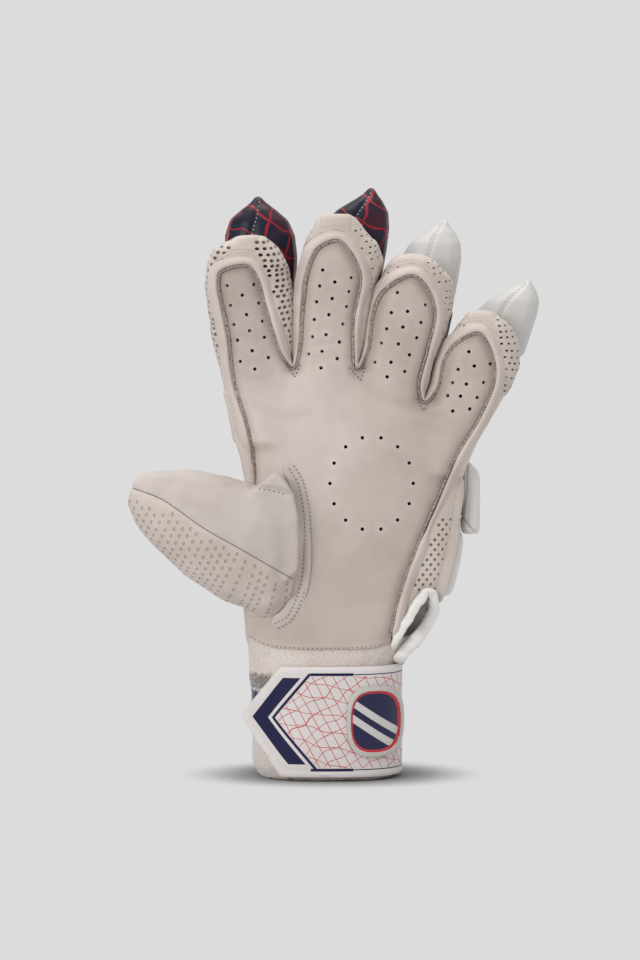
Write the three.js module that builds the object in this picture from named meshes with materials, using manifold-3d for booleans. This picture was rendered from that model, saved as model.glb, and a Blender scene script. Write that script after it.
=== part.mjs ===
// Left-hand cricket batting glove, standing on its cuff. Millimetres.
// +Z runs from the wrist to the fingertips, the palm faces -Y and the thumb points to -X.
import * as THREE from 'three';
import { mergeVertices } from 'three/addons/utils/BufferGeometryUtils.js';
import Module from 'manifold-3d';

const wasm = await Module();
wasm.setup();

// Driving dimensions
const gap = 0.3;
const leatherWall = 2;
const towellingWall = 3.2;
const weltHalfWidth = 1.2;
const weltHeight = 3.2;
const bindingHeight = 2.2;
const ventRadius = 1.15;
const strapThickness = 2.2;
const strapClearance = 0.5;
const badgeThickness = 2;
const fingerHalfDepth = 13;
const fingerCurl = 9;
const rollHalfDepth = 12;
const rollSeat = 0.4;
const cuffLow = 0;
const cuffTuck = 70;
const leatherLow = 64;
const frontLimit = -3;
const farAway = 150;
const backWallFront = 0;
const crotchLevel = 203.5;
const littleCrotchLevel = 188.5;
const thumbFreeX = -46.4;
const curlStart = 185;
const curlReach = 85;
const rollGap = 0.6;
const gloveShiftX = -0.43;
const gloveShiftY = -3.5;

// The palm body, a row for each level
const palmRows = [
  { z: leatherLow, left: -43.6, right: 39, front: -28, back: 37 },
  { z: 89, left: -45.6, right: 51.9, front: -23.5, back: 27 },
  { z: 118.6, left: -45.6, right: 59.8, front: -20, back: 18 },
  { z: 148, left: -44.6, right: 64, front: -19, back: 15 },
  { z: 167.6, left: -48.5, right: 72, front: -18.2, back: 13.5 },
  { z: 182, left: -51, right: 74, front: -17, back: 12.5 },
  { z: 187, left: -50, right: 44, front: -16, back: 12 },
  { z: 200, left: -49, right: 42, front: -12.5, back: 10.5 },
];

// The finger tubes, a row for each level: middle and half width
const fingerRows = {
  index: [
    { z: 165, x: -34.5, half: 15.5 },
    { z: 192, x: -37.5, half: 17 },
    { z: 209, x: -39.4, half: 18.9 },
    { z: 226, x: -40.2, half: 20.4 },
    { z: 241, x: -41.7, half: 21.2 },
    { z: 253, x: -42.4, half: 19.4 },
    { z: 261, x: -42.9, half: 15.9 },
    { z: 269, x: -41.2, half: 5.5 },
  ],
  middle: [
    { z: 165, x: -4.4, half: 15.5 },
    { z: 192, x: -3.9, half: 16 },
    { z: 209, x: -2.9, half: 16 },
    { z: 226, x: -1.2, half: 17.2 },
    { z: 241, x: 0.2, half: 18.4 },
    { z: 254, x: 3.2, half: 20.3 },
    { z: 264, x: 3, half: 17.6 },
    { z: 275, x: 0.6, half: 8 },
  ],
  ring: [
    { z: 165, x: 24, half: 15.5 },
    { z: 190, x: 28.4, half: 16 },
    { z: 204, x: 31.4, half: 16.5 },
    { z: 219, x: 35.3, half: 18.3 },
    { z: 234, x: 37.9, half: 19.2 },
    { z: 246, x: 39.6, half: 17 },
    { z: 255, x: 37.9, half: 10.8 },
    { z: 258.5, x: 36.8, half: 5 },
  ],
  little: [
    { z: 150, x: 50, half: 13 },
    { z: 168, x: 56.4, half: 16 },
    { z: 187, x: 66.4, half: 17.4 },
    { z: 202, x: 71.5, half: 18.4 },
    { z: 214, x: 73, half: 17.4 },
    { z: 224, x: 73, half: 12.3 },
    { z: 230.5, x: 72.5, half: 5 },
  ],
};

// The thumb, a row for each station from its root to its tip
const thumbRows = [
  { x: -14.5, z: 114, half: 10, y: -13, depth: 9 },
  { x: -20, z: 113.5, half: 25, y: -14, depth: 17 },
  { x: -29, z: 112.5, half: 33, y: -16, depth: 22 },
  { x: -43.6, z: 116.1, half: 30.4, y: -19, depth: 22 },
  { x: -63.2, z: 125, half: 26.2, y: -21, depth: 19.5 },
  { x: -80.4, z: 132.8, half: 19.6, y: -22, depth: 16 },
  { x: -92.6, z: 138.7, half: 12.7, y: -22, depth: 11.5 },
  { x: -99.5, z: 141.6, half: 5.4, y: -22, depth: 6 },
];
const thumbSeat = { x: -33, z: 114, halfX: 16, halfZ: 35 };
const thumbSeam = [[-125, 152], [-97, 144], [-83.8, 139.2], [-63.2, 125.4], [-43.6, 114.2], [-10, 94]];

// The palm leather outline: left side, a row for each finger from its left root to its right root, right side
const outlineLeft = [[-44, 50], [-44, 120], [-41.5, 155], [-44.5, 173], [-51, 195]];
const outlineFingers = [
  [[-54.6, 222], [-58.6, 242], [-57.5, 250.5], [-49, 254.5], [-41, 254.3], [-36.4, 249], [-31.4, 232.3], [-24.8, 211]],
  [[-18.2, 213], [-17, 234.2], [-14.4, 252], [-8.8, 263.1], [2.5, 267.1], [10, 260], [15, 247.5], [11.5, 226]],
  [[15.4, 212], [17.6, 229], [23, 241.5], [37.5, 250], [46, 245], [51.5, 230.3], [47.5, 210], [43.4, 194]],
  [[49.8, 193], [53, 207.3], [60, 217], [71.5, 221.5], [77.5, 215], [81, 198.5], [73.5, 178], [62.2, 159.3]],
];
const outlineCrotches = [[[-21.6, 204.6], [-18.6, 205]], [[9, 206.5], [12.6, 205]], [[43.2, 188], [46.3, 187.8]]];
const outlineRight = [[54.4, 141.6], [44.1, 118.1], [34.5, 92], [31, 78], [28.4, 66], [28, 50]];
const outlineSteps = 2;

// The finger regions above the crotches: the lines that part one finger from the next
const splitIndexMiddle = [[-19.8, crotchLevel], [-19.2, 226], [-19.3, 300]];
const splitMiddleRing = [[13.8, crotchLevel], [16.8, 226], [19.8, 241], [25.2, 255], [25.2, 300]];
const splitRingLittle = [[46.6, littleCrotchLevel], [50.5, 204], [54.5, 214], [61, 224], [61, 300]];

// Vent holes: three staggered columns along each finger, given by the axis of the panel
const ventColumns = {
  index: { from: [-46.5, 243.5], to: [-36, 205], rows: 5, spread: 7.4 },
  middle: { from: [1.6, 251], to: [-7.2, 206], rows: 6, spread: 7.6 },
  ring: { from: [36, 239], to: [27, 201], rows: 5, spread: 8 },
  little: { from: [70, 209], to: [61, 184], rows: 4, spread: 7.6 },
};
const ventLoop = { x: 18.5, z: 146, halfX: 20.5, halfZ: 23, count: 14 };

// The wrist slit, a row for each station from its top
const slitRows = [
  { x: 46.6, z: 90, half: 0.8 },
  { x: 42.7, z: 80, half: 2.2 },
  { x: 38.3, z: 72, half: 2.6 },
  { x: 31.8, z: 65, half: 2.4 },
  { x: 27.5, z: 56, half: 2.4 },
];
const bindingLeft = 3.6;
const bindingRight = 8;
const bindingTop = 3.6;

// The wristband below the leather
const wristRows = [
  { z: cuffLow, left: -37, right: 29.5, front: -24, back: 34 },
  { z: 6, left: -40.2, right: 31.2, front: -26, back: 36 },
  { z: 57.5, left: -40.6, right: 31.2, front: -26, back: 36 },
];

// Padding rolls behind the fingers: level and middle of the low and the high end, and half width
const rollRows = {
  index: { capLow: 243, middleLow: 206, baseLow: 168, xs: [-29, -31, -35], half: 15.5, finish: 'whitePadding' },
  middle: { capLow: 246, middleLow: 209, baseLow: 171, xs: [3.5, 5.5, 9.5], half: 14.6, finish: 'whitePadding' },
  ring: { capLow: 233, middleLow: 198, baseLow: 166, xs: [33.5, 38, 45.5], half: 14.4, finish: 'navyPadding' },
  little: { capLow: 208, middleLow: 166, baseLow: 0, xs: [0, 63.2, 80.5], half: 14.4, finish: 'navyPadding' },
};

// Fingertip caps: share of the height, sideways lean, share of the half width and of the half depth
const capRows = [
  { rise: 0, lean: 0, width: 0.96, depth: 0.96 },
  { rise: 0.3, lean: 0.15, width: 1.04, depth: 1 },
  { rise: 0.56, lean: 0.38, width: 1, depth: 0.96 },
  { rise: 0.74, lean: 0.6, width: 0.82, depth: 0.82 },
  { rise: 0.89, lean: 0.84, width: 0.46, depth: 0.55 },
  { rise: 1, lean: 1, width: 0.1, depth: 0.16 },
];
const capTips = {
  index: { x: -37.7, z: 286.7, half: 16.6, finish: 'navyPadding' },
  middle: { x: 18.6, z: 291.1, half: 14.6, finish: 'navyPadding' },
  ring: { x: 54.9, z: 275.4, half: 14.4, finish: 'whitePadding' },
  little: { x: 96.5, z: 245.5, half: 15, finish: 'whitePadding' },
};

// Long rolls on the back of the hand: low and high end, and how far they sink into the curve of the wall
const handRolls = [
  { name: 'hand_roll_1', low: [-27, 96], high: [-29, 166], half: 11.6, sink: 3 },
  { name: 'hand_roll_2', low: [-3, 96], high: [0, 169], half: 11, sink: 0 },
  { name: 'hand_roll_3', low: [19.5, 96], high: [28, 164], half: 10.4, sink: 0 },
  { name: 'hand_roll_4', low: [41, 96], high: [55.6, 163.5], half: 9, sink: 3 },
];
const sideBlocks = [
  { name: 'side_block_upper', left: 63.4, right: 72.5, low: 119.8, high: 154.8, front: 2, back: 30 },
  { name: 'side_block_lower', left: 55.7, right: 64.2, low: 89, high: 119, front: 4, back: 32 },
];

// The badge and the strap
const badge = { x: 18.9, z: 29.4, halfX: 12.8, halfZ: 17.5 };
const strapLow = 2;
const strapHigh = 56.4;
const strapTip = [-45.6, 31.4];
const strapShoulder = -26;
const strapPathStart = 238;
const strapPathEnd = 425;
const strapPathSteps = 26;

// How square the sections are: 2 is an ellipse, higher is squarer
const squareness = { palm: 2.7, finger: 2.9, thumb: 2.2, roll: 2.8, cap: 2.4, block: 3.2, badge: 2.8 };
const sides = { palm: 20, finger: 12, thumb: 14, roll: 10, cap: 12, block: 14 };

// Ends of a padded roll: share of the length, of the half width and of the half depth
const rollEnds = [
  { share: 0, width: 0.84, depth: 0.8 },
  { share: 0.1, width: 1, depth: 1 },
  { share: 0.32, width: 1, depth: 1 },
  { share: 0.9, width: 1, depth: 1 },
  { share: 1, width: 0.84, depth: 0.8 },
];

// Padding on the back of the thumb: stations of the thumb that it spans
const thumbRolls = [
  { name: 'thumb_roll_tip', from: 6.35, to: 4.95, half: 13.5 },
  { name: 'thumb_roll_base', from: 4.9, to: 3.5, half: 19 },
];

// Padded panel on the back of the wrist
const padRows = [
  { z: 5, half: 28, depth: 9 },
  { z: 9, half: 31, depth: 12 },
  { z: 55, half: 31, depth: 12 },
  { z: 59, half: 28, depth: 9 },
];
const padMiddle = { x: -9, y: 36 };

// Colours and finish
const finishes = {
  leather: { color: 0xcbc1b7, roughness: 0.62 },
  mesh: { color: 0xcdc1b7, roughness: 0.66 },
  whitePadding: { color: 0xd7d7d4, roughness: 0.42 },
  navyPadding: { color: 0x1c1e42, roughness: 0.3 },
  towelling: { color: 0xded4cb, roughness: 0.95 },
  strap: { color: 0xe0dcdc, roughness: 0.4 },
  badge: { color: 0x23225a, roughness: 0.45 },
};

function solidOf(geometry) {
  const bare = geometry.index ? geometry.clone() : mergeVertices(geometry);
  bare.deleteAttribute('normal');
  bare.deleteAttribute('uv');
  const merged = mergeVertices(bare, 1e-4);
  const mesh = new wasm.Mesh({
    numProp: 3,
    vertProperties: new Float32Array(merged.attributes.position.array),
    triVerts: new Uint32Array(merged.index.array),
  });
  return new wasm.Manifold(mesh);
}

function geometryOf(solid) {
  const mesh = solid.getMesh();
  const geometry = new THREE.BufferGeometry();
  geometry.setAttribute('position', new THREE.BufferAttribute(mesh.vertProperties, 3));
  geometry.setIndex(new THREE.BufferAttribute(mesh.triVerts, 1));
  return geometry;
}

// A point of a rounded square of unit half width: 2 gives a circle
function roundedSquare(angle, power) {
  const cos = Math.cos(angle);
  const sin = Math.sin(angle);
  return [Math.sign(cos) * Math.abs(cos) ** (2 / power), Math.sign(sin) * Math.abs(sin) ** (2 / power)];
}

// Keeps the largest body of a cut, without the crumbs
function mainBody(solid) {
  const bodies = solid.decompose();
  bodies.sort((a, b) => b.volume() - a.volume());
  return bodies[0];
}

// A closed form through stations. Each station has a middle, a side vector and a depth vector.
function loft(stations, kind) {
  const geometry = new THREE.CylinderGeometry(1, 1, 1, sides[kind], stations.length - 1);
  const places = geometry.attributes.position;
  for (let i = 0; i < places.count; i += 1) {
    const across = places.getX(i);
    const deep = -places.getZ(i);
    const station = stations[Math.round((places.getY(i) + 0.5) * (stations.length - 1))];
    const radius = Math.hypot(across, deep);
    const [a, b] = roundedSquare(Math.atan2(deep, across), squareness[kind]);
    const point = station.middle.clone();
    if (radius > 0.5) {
      point.addScaledVector(station.side, a);
      point.addScaledVector(station.deep, b);
    }
    places.setXYZ(i, point.x, point.y, point.z);
  }
  return solidOf(geometry);
}

function levelStation(x, y, z, halfWidth, halfDepth) {
  return {
    middle: new THREE.Vector3(x, y, z),
    side: new THREE.Vector3(Math.max(halfWidth, 0.5), 0, 0),
    deep: new THREE.Vector3(0, Math.max(halfDepth, 0.5), 0),
  };
}

// A value of a table at a level, between its rows
function atLevel(rows, z, column) {
  let low = rows[0];
  let high = rows[rows.length - 1];
  for (let i = 1; i < rows.length; i += 1) {
    if (rows[i].z >= z) {
      low = rows[i - 1];
      high = rows[i];
      break;
    }
  }
  const share = THREE.MathUtils.clamp((z - low.z) / (high.z - low.z), 0, 1);
  return THREE.MathUtils.lerp(low[column], high[column], share);
}

// How far forward the fingers lean at a level
function curlAt(z) {
  const rise = Math.max(0, z - curlStart) / curlReach;
  return -1 - fingerCurl * rise * rise;
}

function fingerForm(rows, grow) {
  const last = rows.length - 1;
  const stations = rows.map((row, i) => {
    const end = i === last ? grow : 0;
    const dome = i === last ? 0.62 : i === last - 1 ? 0.88 : 1;
    const root = 3 * THREE.MathUtils.clamp((208 - row.z) / 35, 0, 1);
    const halfDepth = fingerHalfDepth * dome + root + grow;
    return levelStation(row.x, curlAt(row.z) - root / 2, row.z + end, row.half + grow, halfDepth);
  });
  return loft(stations, 'finger');
}

// A level section between the edges that a row states
function edgeStation(row, grow, z) {
  const x = (row.left + row.right) / 2;
  const y = (row.front + row.back) / 2;
  return levelStation(x, y, z, (row.right - row.left) / 2 + grow, (row.back - row.front) / 2 + grow);
}

function palmForm(grow) {
  const last = palmRows.length - 1;
  const stations = palmRows.map((row, i) => edgeStation(row, grow, i === last ? row.z + grow : row.z));
  if (grow < 0) {
    stations.unshift(edgeStation(palmRows[0], grow, leatherLow - 12));
  }
  return loft(stations, 'palm');
}

function thumbForm(grow) {
  const stations = thumbRows.map((row, i) => {
    const before = thumbRows[Math.max(i - 1, 0)];
    const after = thumbRows[Math.min(i + 1, thumbRows.length - 1)];
    const way = new THREE.Vector3(after.x - before.x, 0, after.z - before.z).normalize();
    const end = i === 0 ? -grow : i === thumbRows.length - 1 ? grow : 0;
    const middle = new THREE.Vector3(row.x, row.y, row.z).addScaledVector(way, end);
    const side = new THREE.Vector3(way.z, 0, -way.x).multiplyScalar(row.half + grow);
    const deep = new THREE.Vector3(0, row.depth + grow, 0);
    return { middle, side, deep };
  });
  return loft(stations, 'thumb');
}

function handForm(grow) {
  let form = palmForm(grow).add(thumbForm(grow));
  for (const rows of Object.values(fingerRows)) {
    form = form.add(fingerForm(rows, grow));
  }
  return form;
}

// A prism with an outline in X and Z, from one depth to another
function prism(points, front, back) {
  const shape = new THREE.Shape(points.map(([x, z]) => new THREE.Vector2(x, -z)));
  const geometry = new THREE.ExtrudeGeometry(shape, { depth: back - front, bevelEnabled: false });
  geometry.applyMatrix4(new THREE.Matrix4().set(1, 0, 0, 0, 0, 0, 1, front, 0, -1, 0, 0, 0, 0, 0, 1));
  return solidOf(geometry);
}

function block(left, right, front, back, low, high) {
  const geometry = new THREE.BoxGeometry(right - left, back - front, high - low);
  geometry.translate((left + right) / 2, (front + back) / 2, (low + high) / 2);
  return solidOf(geometry);
}

// Moves the points of a closed outline outward
function widened(points, amount) {
  const turn = Math.sign(THREE.ShapeUtils.area(points.map(([x, z]) => new THREE.Vector2(x, z))));
  return points.map(([x, z], i) => {
    const [ax, az] = points[(i + points.length - 1) % points.length];
    const [bx, bz] = points[(i + 1) % points.length];
    const first = new THREE.Vector2(z - az, ax - x).normalize();
    const second = new THREE.Vector2(bz - z, x - bx).normalize();
    const normal = first.clone().add(second).normalize();
    const reach = Math.min(1 / Math.max(normal.dot(first), 0.4), 1.6);
    return [x + turn * amount * reach * normal.x, z + turn * amount * reach * normal.y];
  });
}

function palmOutline() {
  const points = [...outlineLeft];
  outlineFingers.forEach((row, i) => {
    points.push(...row);
    points.push(...(outlineCrotches[i] ?? []));
  });
  points.push(...outlineRight);
  const knots = points.map(([x, z]) => new THREE.Vector3(x, z, 0));
  const curve = new THREE.CatmullRomCurve3(knots, false, 'centripetal');
  return curve.getPoints((points.length - 1) * outlineSteps).map((point) => [point.x, point.y]);
}

// The wrist slit and its binding are ribbons of the same rows
function slitRibbon(left, right, top) {
  const levels = slitRows.map((row, i) => row.z + (i === 0 ? top : 0));
  const leftSide = slitRows.map((row, i) => [row.x - row.half - left, levels[i]]);
  const rightSide = slitRows.map((row, i) => {
    const reach = i === 0 ? 0.4 * right : right;
    return [row.x + row.half + reach, levels[i]];
  });
  return [...leftSide, ...rightSide.reverse()];
}

function ventPlaces() {
  const places = [];
  for (const { from, to, rows, spread } of Object.values(ventColumns)) {
    const length = Math.hypot(to[0] - from[0], to[1] - from[1]);
    const way = [(to[0] - from[0]) / length, (to[1] - from[1]) / length];
    for (let row = 0; row < rows; row += 1) {
      for (let column = -1; column <= 1; column += 1) {
        const along = (length * (row + (column + 1) / 3)) / rows;
        places.push([
          from[0] + way[0] * along + way[1] * column * spread,
          from[1] + way[1] * along - way[0] * column * spread,
        ]);
      }
    }
  }
  for (let i = 0; i < ventLoop.count; i += 1) {
    const angle = (2 * Math.PI * i) / ventLoop.count;
    places.push([
      ventLoop.x + ventLoop.halfX * Math.cos(angle),
      ventLoop.z + ventLoop.halfZ * Math.sin(angle),
    ]);
  }
  return places;
}

function ventPins() {
  const pins = ventPlaces().map(([x, z]) => {
    const geometry = new THREE.CylinderGeometry(ventRadius, ventRadius, 40, 3);
    geometry.translate(x, frontLimit - 20, z);
    return solidOf(geometry);
  });
  return pins.reduce((all, pin) => all.add(pin));
}

const glove = new THREE.Group();

function addPiece(name, solid, finish) {
  const geometry = geometryOf(mainBody(solid));
  const material = new THREE.MeshStandardMaterial({ ...finishes[finish], metalness: 0 });
  const mesh = new THREE.Mesh(geometry, material);
  mesh.name = name;
  mesh.position.set(gloveShiftX, gloveShiftY, 0);
  glove.add(mesh);
}

// The hollow hand form and the lines that part its panels
const outer = handForm(0);
const clear = handForm(gap);
const shell = outer.subtract(handForm(-leatherWall));
const outline = palmOutline();
const palmCut = prism(outline, -farAway, frontLimit);
const palmCutWide = prism(widened(outline, gap), -farAway, frontLimit + gap);

function thumbRegion(grow) {
  const arc = [];
  for (let i = 0; i <= 14; i += 1) {
    const angle = Math.PI / 2 - (Math.PI * i) / 14;
    arc.push([
      thumbSeat.x + (thumbSeat.halfX + grow) * Math.cos(angle),
      thumbSeat.z + (thumbSeat.halfZ + grow) * Math.sin(angle),
    ]);
  }
  const low = thumbSeat.z - thumbSeat.halfZ - grow;
  const high = thumbSeat.z + thumbSeat.halfZ + grow;
  const seated = prism([[-farAway, high], ...arc, [-farAway, low]], -farAway, frontLimit + grow);
  const free = block(-farAway, thumbFreeX + grow, -farAway, farAway, 40, 156 + grow);
  return seated.add(free);
}

// Palm leather, with its vents
const slit = prism(slitRibbon(0, 0, 0), -farAway, frontLimit);
const palmLeather = shell.intersect(palmCut).subtract(thumbRegion(gap)).subtract(ventPins());
addPiece('palm_leather', palmLeather, 'leather');

// Welt round the palm leather
const weltOuter = prism(widened(outline, weltHalfWidth), -farAway, frontLimit);
const weltInner = prism(widened(outline, -weltHalfWidth), -farAway - 1, frontLimit + 1);
const weltRing = weltOuter.subtract(weltInner);
const weltBand = handForm(weltHeight).subtract(clear);
const thumbSide = block(-farAway, -30, -farAway, farAway, 0, 156);
const lowerEdge = block(-farAway, farAway, -farAway, farAway, 0, leatherLow + 2);
const welt = weltRing.intersect(weltBand).subtract(thumbSide).subtract(lowerEdge);
addPiece('welt', welt, 'leather');

// Thumb: smooth above its seam, perforated below
const thumbShell = shell.intersect(thumbRegion(0));
const lowSeam = thumbSeam.map(([x, z]) => [x, z - gap]);
const aboveSeam = prism([...thumbSeam, [-10, 200], [-125, 200]], -farAway, farAway);
const belowSeam = prism([...lowSeam, [-10, 20], [-125, 20]], -farAway, farAway);
addPiece('thumb_leather', thumbShell.intersect(aboveSeam), 'leather');
addPiece('thumb_mesh', thumbShell.intersect(belowSeam), 'mesh');

// The rest of the shell: gussets of the fingers, the side gusset and the back of the hand
const rest = shell.subtract(palmCutWide).subtract(thumbRegion(gap)).subtract(slit);
const ringFoot = [[40, crotchLevel], [40, littleCrotchLevel]];
const fingerRegions = {
  index: [[-farAway, crotchLevel], ...splitIndexMiddle, [-farAway, 300]],
  middle: [...splitIndexMiddle].reverse().concat(splitMiddleRing),
  ring: [...splitMiddleRing].reverse().concat(ringFoot, splitRingLittle),
  little: [...splitRingLittle].reverse().concat([[farAway, littleCrotchLevel], [farAway, 300]]),
};
let handWall = rest;
for (const [finger, points] of Object.entries(fingerRegions)) {
  addPiece(`gusset_${finger}`, rest.intersect(prism(points, -farAway, farAway)), 'mesh');
  handWall = handWall.subtract(prism(widened(points, gap), -farAway, farAway));
}
function sideSpace(grow) {
  return block(20 - grow, farAway, -farAway, backWallFront + grow, 0, littleCrotchLevel + grow);
}
addPiece('gusset_side', handWall.intersect(sideSpace(0)), 'mesh');
addPiece('hand_back', handWall.subtract(sideSpace(gap)), 'whitePadding');

// Binding round the wrist slit
const bindingWhole = prism(slitRibbon(bindingLeft, bindingRight, bindingTop), -farAway, frontLimit);
const bindingRing = bindingWhole.subtract(slit);
const bindingBand = handForm(bindingHeight).subtract(clear);
const weltSpace = prism(widened(outline, weltHalfWidth + gap), -farAway, frontLimit);
addPiece('slit_binding', bindingRing.intersect(bindingBand).subtract(weltSpace), 'whitePadding');

// A padded segment between two ends, with its flat side on the wall in front of it
function rollStation(x, z, halfWidth, wall, depthShare) {
  const depth = rollHalfDepth * depthShare;
  return levelStation(x, wall + rollSeat + rollHalfDepth, z, halfWidth, depth);
}

function paddedRoll(low, high, halfWidth, wallAt) {
  const stations = rollEnds.map(({ share, width, depth }) => {
    const x = THREE.MathUtils.lerp(low[0], high[0], share);
    const z = THREE.MathUtils.lerp(low[1], high[1], share);
    return rollStation(x, z, halfWidth * width, wallAt(z), depth);
  });
  return loft(stations, 'roll').subtract(clear);
}

const fingerWall = (z) => curlAt(z) + fingerHalfDepth;
const palmWall = (z) => atLevel(palmRows, z, 'back');

for (const [finger, roll] of Object.entries(rollRows)) {
  const tip = capTips[finger];
  const capStations = capRows.map((row) => {
    const z = THREE.MathUtils.lerp(roll.capLow, tip.z, row.rise);
    const x = THREE.MathUtils.lerp(roll.xs[2], tip.x, row.lean);
    return rollStation(x, z, tip.half * row.width, fingerWall(roll.capLow), row.depth);
  });
  addPiece(`cap_${finger}`, loft(capStations, 'cap').subtract(clear), tip.finish);
  const middleLow = [roll.xs[1], roll.middleLow];
  const middleHigh = [roll.xs[2], roll.capLow - rollGap];
  addPiece(`roll_${finger}_middle`, paddedRoll(middleLow, middleHigh, roll.half, fingerWall), roll.finish);
  if (roll.baseLow > 0) {
    const baseLow = [roll.xs[0], roll.baseLow];
    const baseHigh = [roll.xs[1], roll.middleLow - rollGap];
    addPiece(`roll_${finger}_base`, paddedRoll(baseLow, baseHigh, roll.half, fingerWall), 'whitePadding');
  }
}
for (const roll of handRolls) {
  const wallAt = (z) => palmWall(z) - roll.sink;
  addPiece(roll.name, paddedRoll(roll.low, roll.high, roll.half, wallAt), 'whitePadding');
}

// Padding on the back of the thumb

function thumbAt(share, column) {
  const low = Math.floor(share);
  const high = Math.min(low + 1, thumbRows.length - 1);
  return THREE.MathUtils.lerp(thumbRows[low][column], thumbRows[high][column], share - low);
}

function thumbRoll(roll) {
  const first = new THREE.Vector3(thumbAt(roll.to, 'x'), 0, thumbAt(roll.to, 'z'));
  const last = new THREE.Vector3(thumbAt(roll.from, 'x'), 0, thumbAt(roll.from, 'z'));
  const way = last.clone().sub(first).normalize();
  const stations = rollEnds.map(({ share, width, depth }) => {
    const along = THREE.MathUtils.lerp(roll.to, roll.from, share);
    const middle = first.clone().lerp(last, share);
    middle.y = thumbAt(along, 'y') + thumbAt(along, 'depth') * 0.82 + rollHalfDepth * 0.7;
    const side = new THREE.Vector3(way.z, 0, -way.x).multiplyScalar(roll.half * width);
    const deep = new THREE.Vector3(0, rollHalfDepth * 0.8 * depth, 0);
    return { middle, side, deep };
  });
  return loft(stations, 'roll').subtract(clear);
}

for (const roll of thumbRolls) {
  const handSpace = block(thumbFreeX - rollGap, farAway, -farAway, farAway, 0, 300);
  addPiece(roll.name, thumbRoll(roll).subtract(handSpace), 'whitePadding');
}

// White padded blocks on the outer side of the hand
for (const side of sideBlocks) {
  const half = (side.right - side.left) / 2;
  const x = (side.right + side.left) / 2;
  const y = (side.front + side.back) / 2;
  const depth = (side.back - side.front) / 2;
  const stations = [
    levelStation(x, y, side.low, half * 0.86, depth * 0.9),
    levelStation(x, y, side.low + 3, half, depth),
    levelStation(x, y, side.high - 3, half, depth),
    levelStation(x, y, side.high, half * 0.86, depth * 0.9),
  ];
  addPiece(side.name, loft(stations, 'block').subtract(clear), 'whitePadding');
}

// Towelling wristband, tucked into the leather
function wristForm(grow, low, high) {
  const stations = wristRows.map((row) => edgeStation(row, grow, row.z));
  for (const z of [leatherLow, cuffTuck]) {
    const row = {};
    for (const column of ['left', 'right', 'front', 'back']) {
      row[column] = atLevel(palmRows, z, column);
    }
    stations.push(edgeStation(row, grow - leatherWall - gap - 0.1, z));
  }
  stations[0].middle.z = low;
  stations[stations.length - 1].middle.z = high;
  return loft(stations, 'palm');
}

const wristHollow = wristForm(-towellingWall, cuffLow - 1, cuffTuck + 1);
addPiece('wristband', wristForm(0, cuffLow, cuffTuck).subtract(wristHollow), 'towelling');

// The strap follows the wristband from the back, round the outer side and across the front to its point
function strapPath() {
  const row = wristRows[1];
  const x = (row.left + row.right) / 2;
  const y = (row.front + row.back) / 2;
  const reach = strapClearance + strapThickness / 2;
  const halfX = (row.right - row.left) / 2 + reach;
  const halfY = (row.back - row.front) / 2 + reach;
  const points = [];
  for (let i = 0; i <= strapPathSteps; i += 1) {
    const turn = THREE.MathUtils.lerp(strapPathStart, strapPathEnd, i / strapPathSteps);
    const [a, b] = roundedSquare(THREE.MathUtils.degToRad(turn), squareness.palm);
    points.push(new THREE.Vector2(x + halfX * a, y + halfY * b));
  }
  const start = points[0];
  const way = start.clone().sub(points[1]).normalize();
  const length = (start.x - strapTip[0] + 3) / -way.x;
  points.unshift(start.clone().addScaledVector(way, length));
  return points;
}

// A band along a path, between two distances from it
function band(path, inside, outside, low, high) {
  const normals = path.map((point, i) => {
    const before = path[Math.max(i - 1, 0)];
    const after = path[Math.min(i + 1, path.length - 1)];
    const way = after.clone().sub(before).normalize();
    return new THREE.Vector2(way.y, -way.x);
  });
  const outerSide = path.map((point, i) => point.clone().addScaledVector(normals[i], outside));
  const innerSide = path.map((point, i) => point.clone().addScaledVector(normals[i], inside));
  const shape = new THREE.Shape([...innerSide, ...outerSide.reverse()]);
  const geometry = new THREE.ExtrudeGeometry(shape, { depth: high - low, bevelEnabled: false });
  geometry.translate(0, 0, low);
  return solidOf(geometry);
}

const path = strapPath();
const strapOutline = [
  [strapTip[0], strapTip[1]],
  [strapShoulder, strapHigh],
  [farAway, strapHigh],
  [farAway, strapLow],
  [strapShoulder, strapLow],
];
const strapBand = band(path, -strapThickness / 2, strapThickness / 2, strapLow - 2, strapHigh + 2);
addPiece('strap', strapBand.intersect(prism(strapOutline, -farAway, farAway)), 'strap');

// Badge: a rounded shape that follows the strap
const badgeOutline = [];
for (let i = 0; i < 24; i += 1) {
  const [a, b] = roundedSquare((2 * Math.PI * i) / 24, squareness.badge);
  badgeOutline.push([badge.x + badge.halfX * a, badge.z + badge.halfZ * b]);
}
const badgeFoot = strapThickness / 2 + gap;
const badgeBand = band(path, badgeFoot, badgeFoot + badgeThickness, badge.z - 25, badge.z + 25);
addPiece('badge', badgeBand.intersect(prism(badgeOutline, -farAway, 0)), 'badge');

// The panel on the back of the wrist is hollowed to the wristband and ends beside the strap
const padStations = padRows.map((row) => levelStation(padMiddle.x, padMiddle.y, row.z, row.half, row.depth));
const strapReach = strapThickness / 2 + 2 * gap;
const strapSpace = band(path, -strapReach, strapReach, cuffLow, cuffTuck);
const wristSpace = wristForm(gap, cuffLow - 1, cuffTuck + 1);
const cuffPad = loft(padStations, 'block').subtract(wristSpace).subtract(strapSpace);
addPiece('cuff_pad', cuffPad, 'navyPadding');

export default glove;
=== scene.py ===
# %% [markdown]
# # A cricket batting glove, seen from the palm
# The glove stands on its cuff: fingers up (+Z), palm towards -Y, thumb towards -X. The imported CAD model
# is the frame, so every piece is made in metres in the same axes and replaces the solids it stands for.

# %% Load the frame
import math
import bmesh
import bpy
import numpy as np
from mathutils import Matrix, Vector, noise
from mathutils.bvhtree import BVHTree
from mathutils.geometry import delaunay_2d_cdt


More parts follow.
